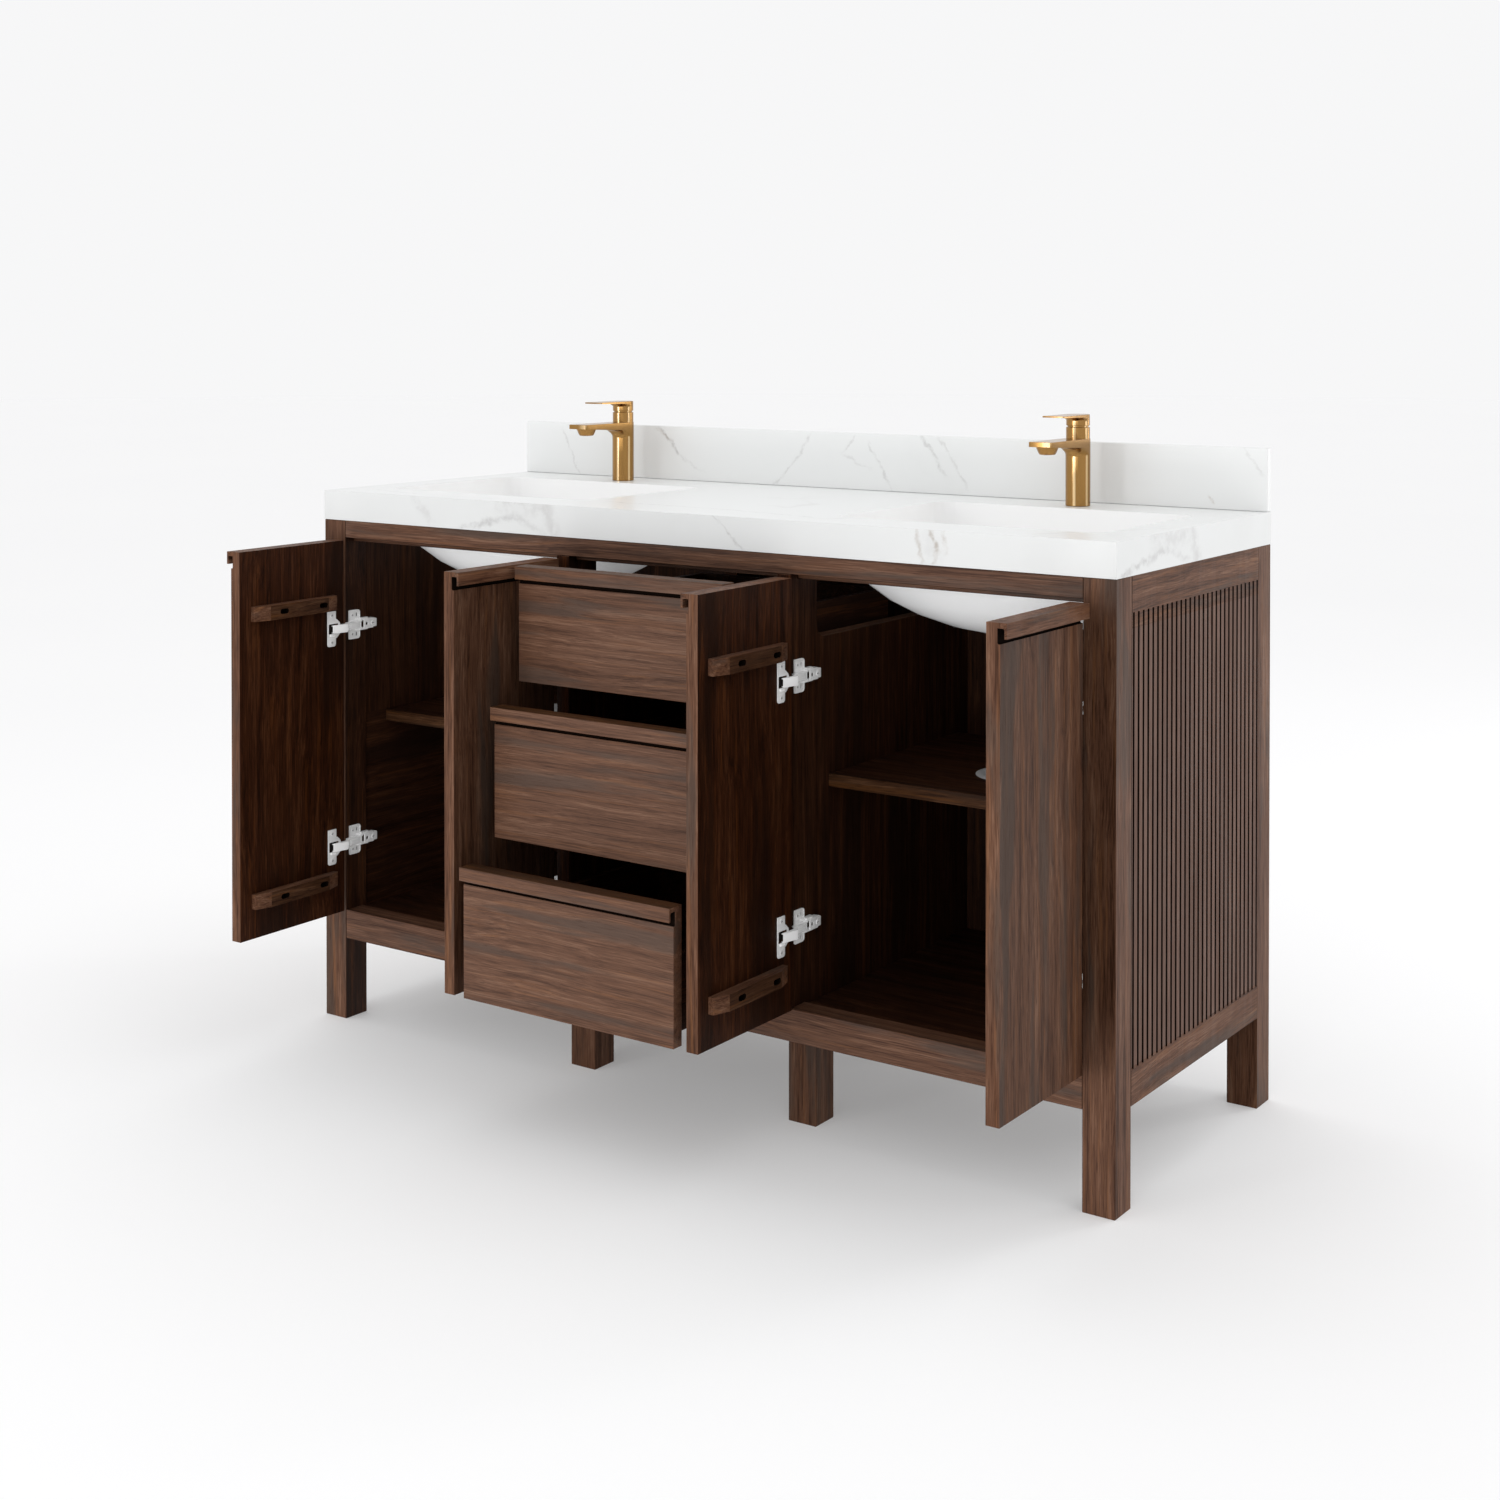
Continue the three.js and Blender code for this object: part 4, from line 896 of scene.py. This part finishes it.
def hinge_cup_parts():
    """Door side, drawn with the leaf open: its inner face is 12.1 from the carrying face."""
    parts = []
    edge = rounded(-54.4, -34.8, -30.6, 30.6, (4.5, 4.5, 1.0, 1.0))
    bulge = [(-34.9, -16.6), (-32.5, -16.2), (-25.8, -10.2), (-24.6, -8.0), (-24.6, 8.0), (-25.8, 10.2),
             (-32.5, 16.2), (-34.9, 16.6)]
    split = next(i for i, (x, y) in enumerate(edge) if x > -35.5 and y > 0)
    outline = edge[:split] + bulge + edge[split:]
    opening = rounded(-51.5, -29.0, -8.6, 8.6, (1.5,) * 4)
    parts.append((plate([outline, opening], 12.15, 13.5), NICKEL))
    # painted shade: a thin dark sheet under the cup's opening
    parts.append((plate([rounded(-53.0, -27.0, -9.6, 9.6, (4,) * 4)], 4.0, 4.2, 0.0), RECESS_SHADE))
    for side in (-1, 1):
        parts += screw(-44.8, side * 23.4, 13.4, 3.6, 0.8)
    parts.append((moved(turned([(1.5, -5.0), (2.2, -4.4), (2.2, 4.4), (1.5, 5.0)], 14), -43.5, -11.0, 14.0,
                        Matrix.Rotation(math.radians(90), 4, "Y")), ELBOW))
    return parts


# the elbow glows a little: painted light
ELBOW = brushed("bright_elbow", (0.97, 0.97, 0.965), (0.92, 0.92, 0.92), 0.30, "y", 0.06, 0.05, painted_glow=0.15)
# X of the face that carries each door's hinges, and the direction in X in which it looks
CARRIERS = {
    1: (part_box("post_front_left")[1].x, 1),
    2: (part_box("divider_left")[0].x, -1),
    3: (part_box("divider_right")[1].x, 1),
    4: (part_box("post_front_right")[0].x, -1),
}
for number, (carrier, inward) in CARRIERS.items():
    for place in ("lower", "upper"):
        tag = f"{number}_{place}"
        low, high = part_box(f"hinge_arm_{tag}")
        frame_of = Matrix(((0, 0, inward * MM, carrier), (MM, 0, 0, FRONT_Y),
                           (0, MM, 0, (low.z + high.z) / 2), (0, 0, 0, 1)))
        build(f"hinge_plate_{tag}", hinge_arm_parts(), frame_of, "carcass", [f"hinge_arm_{tag}"])
        build(f"hinge_elbow_{tag}", hinge_link_parts(), frame_of, f"hinge_links_{number}",
              [f"hinge_link_{tag}"])
        build(f"hinge_cup_{tag}", hinge_cup_parts(), frame_of, f"door_leaf_{number}")


# Taps are drawn in millimetres from their own axis, with the spout towards the front.
DECK = WORKTOP_TOP / MM + 0.3  # the CAD's pieces keep this gap
COLUMN, NECK_RISE = 20.0, 18.5  # the column's radius, and the neck's height above the spout
SPOUT_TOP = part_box("tap_body_right")[1].z / MM - NECK_RISE
OUTLET = 107.5  # from the axis to the middle of the outlet
LEVER_FOOT, LEVER_TOP = [corner.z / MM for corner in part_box("tap_lever_right")]
# exponents of the rounded rectangles: 2 is an ellipse, and a high one has nearly sharp corners
ROUND, SQUARE = 2.0, 40.0
FILLET_STEPS = 12


def arm(radius, foot, blend, under, tip, top, reach, steps=64):
    """A round column that flows through a fillet into a flat arm reaching to the front.

    The fillet starts at the height blend; the arm's underside goes from under to tip."""
    def outline(front, square, height):
        points = []
        for i in range(steps):
            c, s = math.cos(math.tau * i / steps), math.sin(math.tau * i / steps)
            power = ROUND / (ROUND if s >= 0 else square)
            x = radius * math.copysign(abs(c) ** power, c)
            y = radius * s if s >= 0 else -front * abs(s) ** power
            points.append((x, y, height(y)))
        return points

    depth = under - blend
    rings = [*foot, circle(radius, blend, steps)]
    for step in range(1, FILLET_STEPS + 1):
        turn = math.radians(90 * step / FILLET_STEPS)
        rise, spread = math.sin(turn), depth * (1 - math.cos(turn))
        rings.append(outline(radius + spread, ROUND + 6.0 * rise ** 3, lambda y: blend + depth * rise))
    root = radius + depth
    slope = (tip - under) / (reach - root)
    rings.append(outline(reach - 0.4, SQUARE, lambda y: under + slope * max(0.0, -y - root)))
    rings.append(outline(reach, SQUARE, lambda y: under + 0.4 + slope * max(0.0, -y - root)))
    rings.append(outline(reach, SQUARE, lambda y: top - 0.5))
    rings.append([(x * 0.975, y + 0.5 if y < 0 else y * 0.975, top)
                  for x, y, z in outline(reach, SQUARE, lambda y: top)])
    return lofted(rings)


def tap_housing_parts():
    """Column with its spout, the neck above it, the outlet and the shank under the worktop."""
    foot = [circle(COLUMN - 0.6, DECK, 64), circle(COLUMN, DECK + 0.6, 64)]
    outlet = turned([(9.0, -21.0), (12.4, -20.4), (14.4, -17.5), (16.6, -12.0), (18.6, -8.0),
                     (18.6, -5.0)], 40)
    neck = turned([(19.2, -2.0), (19.2, NECK_RISE - 0.5), (18.7, NECK_RISE), (13.0, NECK_RISE), (13.0, 0.1)],
                  64)
    spout = arm(COLUMN, foot, blend=SPOUT_TOP - 29.0, under=SPOUT_TOP - 13.5, tip=SPOUT_TOP - 8.0,
                top=SPOUT_TOP, reach=133.5)
    return [
        (spout, GOLD),
        (moved(neck, 0.0, 0.0, SPOUT_TOP), GOLD),
        (moved(outlet, 0.0, -OUTLET, SPOUT_TOP), GOLD),
        # painted shade: a thin dark disc in the outlet
        (moved(turned([(7.6, -21.2), (7.6, -20.8)], 32), 0.0, -OUTLET, SPOUT_TOP), RECESS_SHADE),
        (turned([(15.0, DECK - 80.0), (15.0, DECK + 0.2)], 32), GOLD),
    ]


def tap_lever_parts():
    """Flat lever on a round foot, hollow round the cartridge's stem."""
    foot = [circle(13.0, LEVER_FOOT + 5.0, 64), circle(13.0, LEVER_FOOT, 64), circle(18.6, LEVER_FOOT, 64),
            circle(19.0, LEVER_FOOT + 0.5, 64)]
    lever = arm(19.0, foot, blend=LEVER_TOP - 10.5, under=LEVER_TOP - 4.5, tip=LEVER_TOP - 2.4,
                top=LEVER_TOP, reach=89.0)
    return [(lever, GOLD)]


for side, _ in SIDES:
    low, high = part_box(f"tap_body_{side}")
    axis = Matrix.Translation(((low.x + high.x) / 2, high.y - COLUMN * MM, 0.0)) @ Matrix.Scale(MM, 4)
    build(f"tap_housing_{side}", tap_housing_parts(), axis, "carcass", [f"tap_body_{side}"])
    build(f"tap_handle_plate_{side}", tap_lever_parts(), axis, f"tap_handle_{side}",
          [f"tap_lever_{side}"])


def grey_plastic():
    """Moulded plastic of the discs round the supply pipes."""
    made, g, shader = material("grey_plastic", 0.5, Specular_IOR_Level=0.4)
    cloud = g.noise(g.coords(), 40.0, 3.0)
    g.put(shader.inputs["Base Color"], g.mix(cloud, (0.52, 0.52, 0.52), (0.60, 0.60, 0.60)))
    g.put(shader.inputs["Normal"], g.bump(g.noise(g.coords(), 900.0, 2.0), 0.0001, 0.3))
    return made


PLASTIC = grey_plastic()
for side, _ in SIDES:
    cover = turned([(59.0, 0.05), (60.5, 0.6), (60.5, 1.4), (58.0, 2.2), (45.0, 2.6), (43.5, 2.1),
                    (20.0, 2.1), (18.5, 2.6)], 48)
    low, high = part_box(f"sink_bowl_{side}")
    under_bowl = Vector(((low.x + high.x) / 2, (low.y + high.y) / 2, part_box(f"shelf_{side}")[1].z))
    place = Matrix.Translation(under_bowl) @ Matrix.Scale(MM, 4)
    build(f"shelf_pipe_cover_{side}", [(cover, PLASTIC)], place, "carcass")


# ---- camera, floor, light -------------------------------------------------------------------
# the camera of the photo, as fitted to the part's straight edges
EYE = (2.0299, FRONT_Y - 2.6744, 1.2343)
DIP, HEADING = math.radians(0.78), math.radians(35.04)
LENS, SENSOR, LENS_SHIFT = 51.684, 36.0, -0.2701


def make_camera():
    data = bpy.data.cameras.new("camera")
    data.sensor_width = SENSOR
    data.lens = LENS
    data.shift_y = LENS_SHIFT
    data.clip_end = 100.0
    camera = bpy.data.objects.new("camera", data)
    camera.location = EYE
    camera.rotation_euler = (math.pi / 2 - DIP, 0.0, HEADING)
    SCENE.collection.objects.link(camera)
    SCENE.camera = camera


FLOOR_RADIUS, FLOOR_STEPS = 30.0, 128


def make_floor():
    mesh = bpy.data.meshes.new("studio_floor")
    mesh.from_pydata(circle(FLOOR_RADIUS, 0.0, FLOOR_STEPS), [], [list(range(FLOOR_STEPS))])
    floor = bpy.data.objects.new("studio_floor", mesh)
    SCENE.collection.objects.link(floor)
    made, g, shader = material("studio_floor", 0.9, Specular_IOR_Level=0.1)
    shader.inputs["Emission Color"].default_value = (0.93, 0.93, 0.93, 1.0)
    far = g.vec("LENGTH", g.coords())
    cloud = g.noise(g.coords(), 0.7, 2.0)
    g.put(shader.inputs["Base Color"], g.mix(cloud, (0.76, 0.76, 0.765), (0.78, 0.78, 0.78)))
    g.put(shader.inputs["Emission Strength"], g.ramp(far, 1.2, 6.0, 0.235, 0.245))
    floor.data.materials.append(made)


def area_light(name, place, target, size, power):
    """A soft rectangular lamp that looks from a place at a target, in metres and watts."""
    data = bpy.data.lights.new(name, "AREA")
    data.shape = "RECTANGLE"
    data.size, data.size_y = size
    data.energy = power
    light = bpy.data.objects.new(name, data)
    light.location = place
    light.rotation_euler = (Vector(target) - Vector(place)).to_track_quat("-Z", "Y").to_euler()
    SCENE.collection.objects.link(light)
    light.visible_camera = False


def make_light():
    world = bpy.data.worlds.new("studio")
    world.use_nodes = True
    g = Graph(world.node_tree)
    back = world.node_tree.nodes["Background"]
    g.put(back.inputs["Color"], g.mix(g.node("ShaderNodeLightPath").outputs["Is Camera Ray"],
                                      (0.90, 0.90, 0.905), (0.93, 0.93, 0.935)))
    SCENE.world = world
    area_light("key_left", (-1.6, -4.4, 1.35), (0.0, 0.0, 0.7), (0.6, 2.4), 20.0)
    area_light("strip_right", (4.3, 1.55, 1.15), (0.3, 0.2, 0.9), (0.4, 2.0), 6.0)
    area_light("low_front", (0.3, -3.4, 0.3), (0.0, 0.0, 0.8), (3.2, 0.5), 19.0)
    area_light("rim_right", (2.7, 3.8, 1.8), (0.3, 0.0, 0.5), (0.8, 2.4), 24.0)
    area_light("overhead", (0.0, 0.3, 3.2), (0.0, 0.1, 0.5), (3.0, 1.6), 12.0)
    SCENE.view_settings.view_transform = "Standard"


make_camera()
make_floor()
make_light()
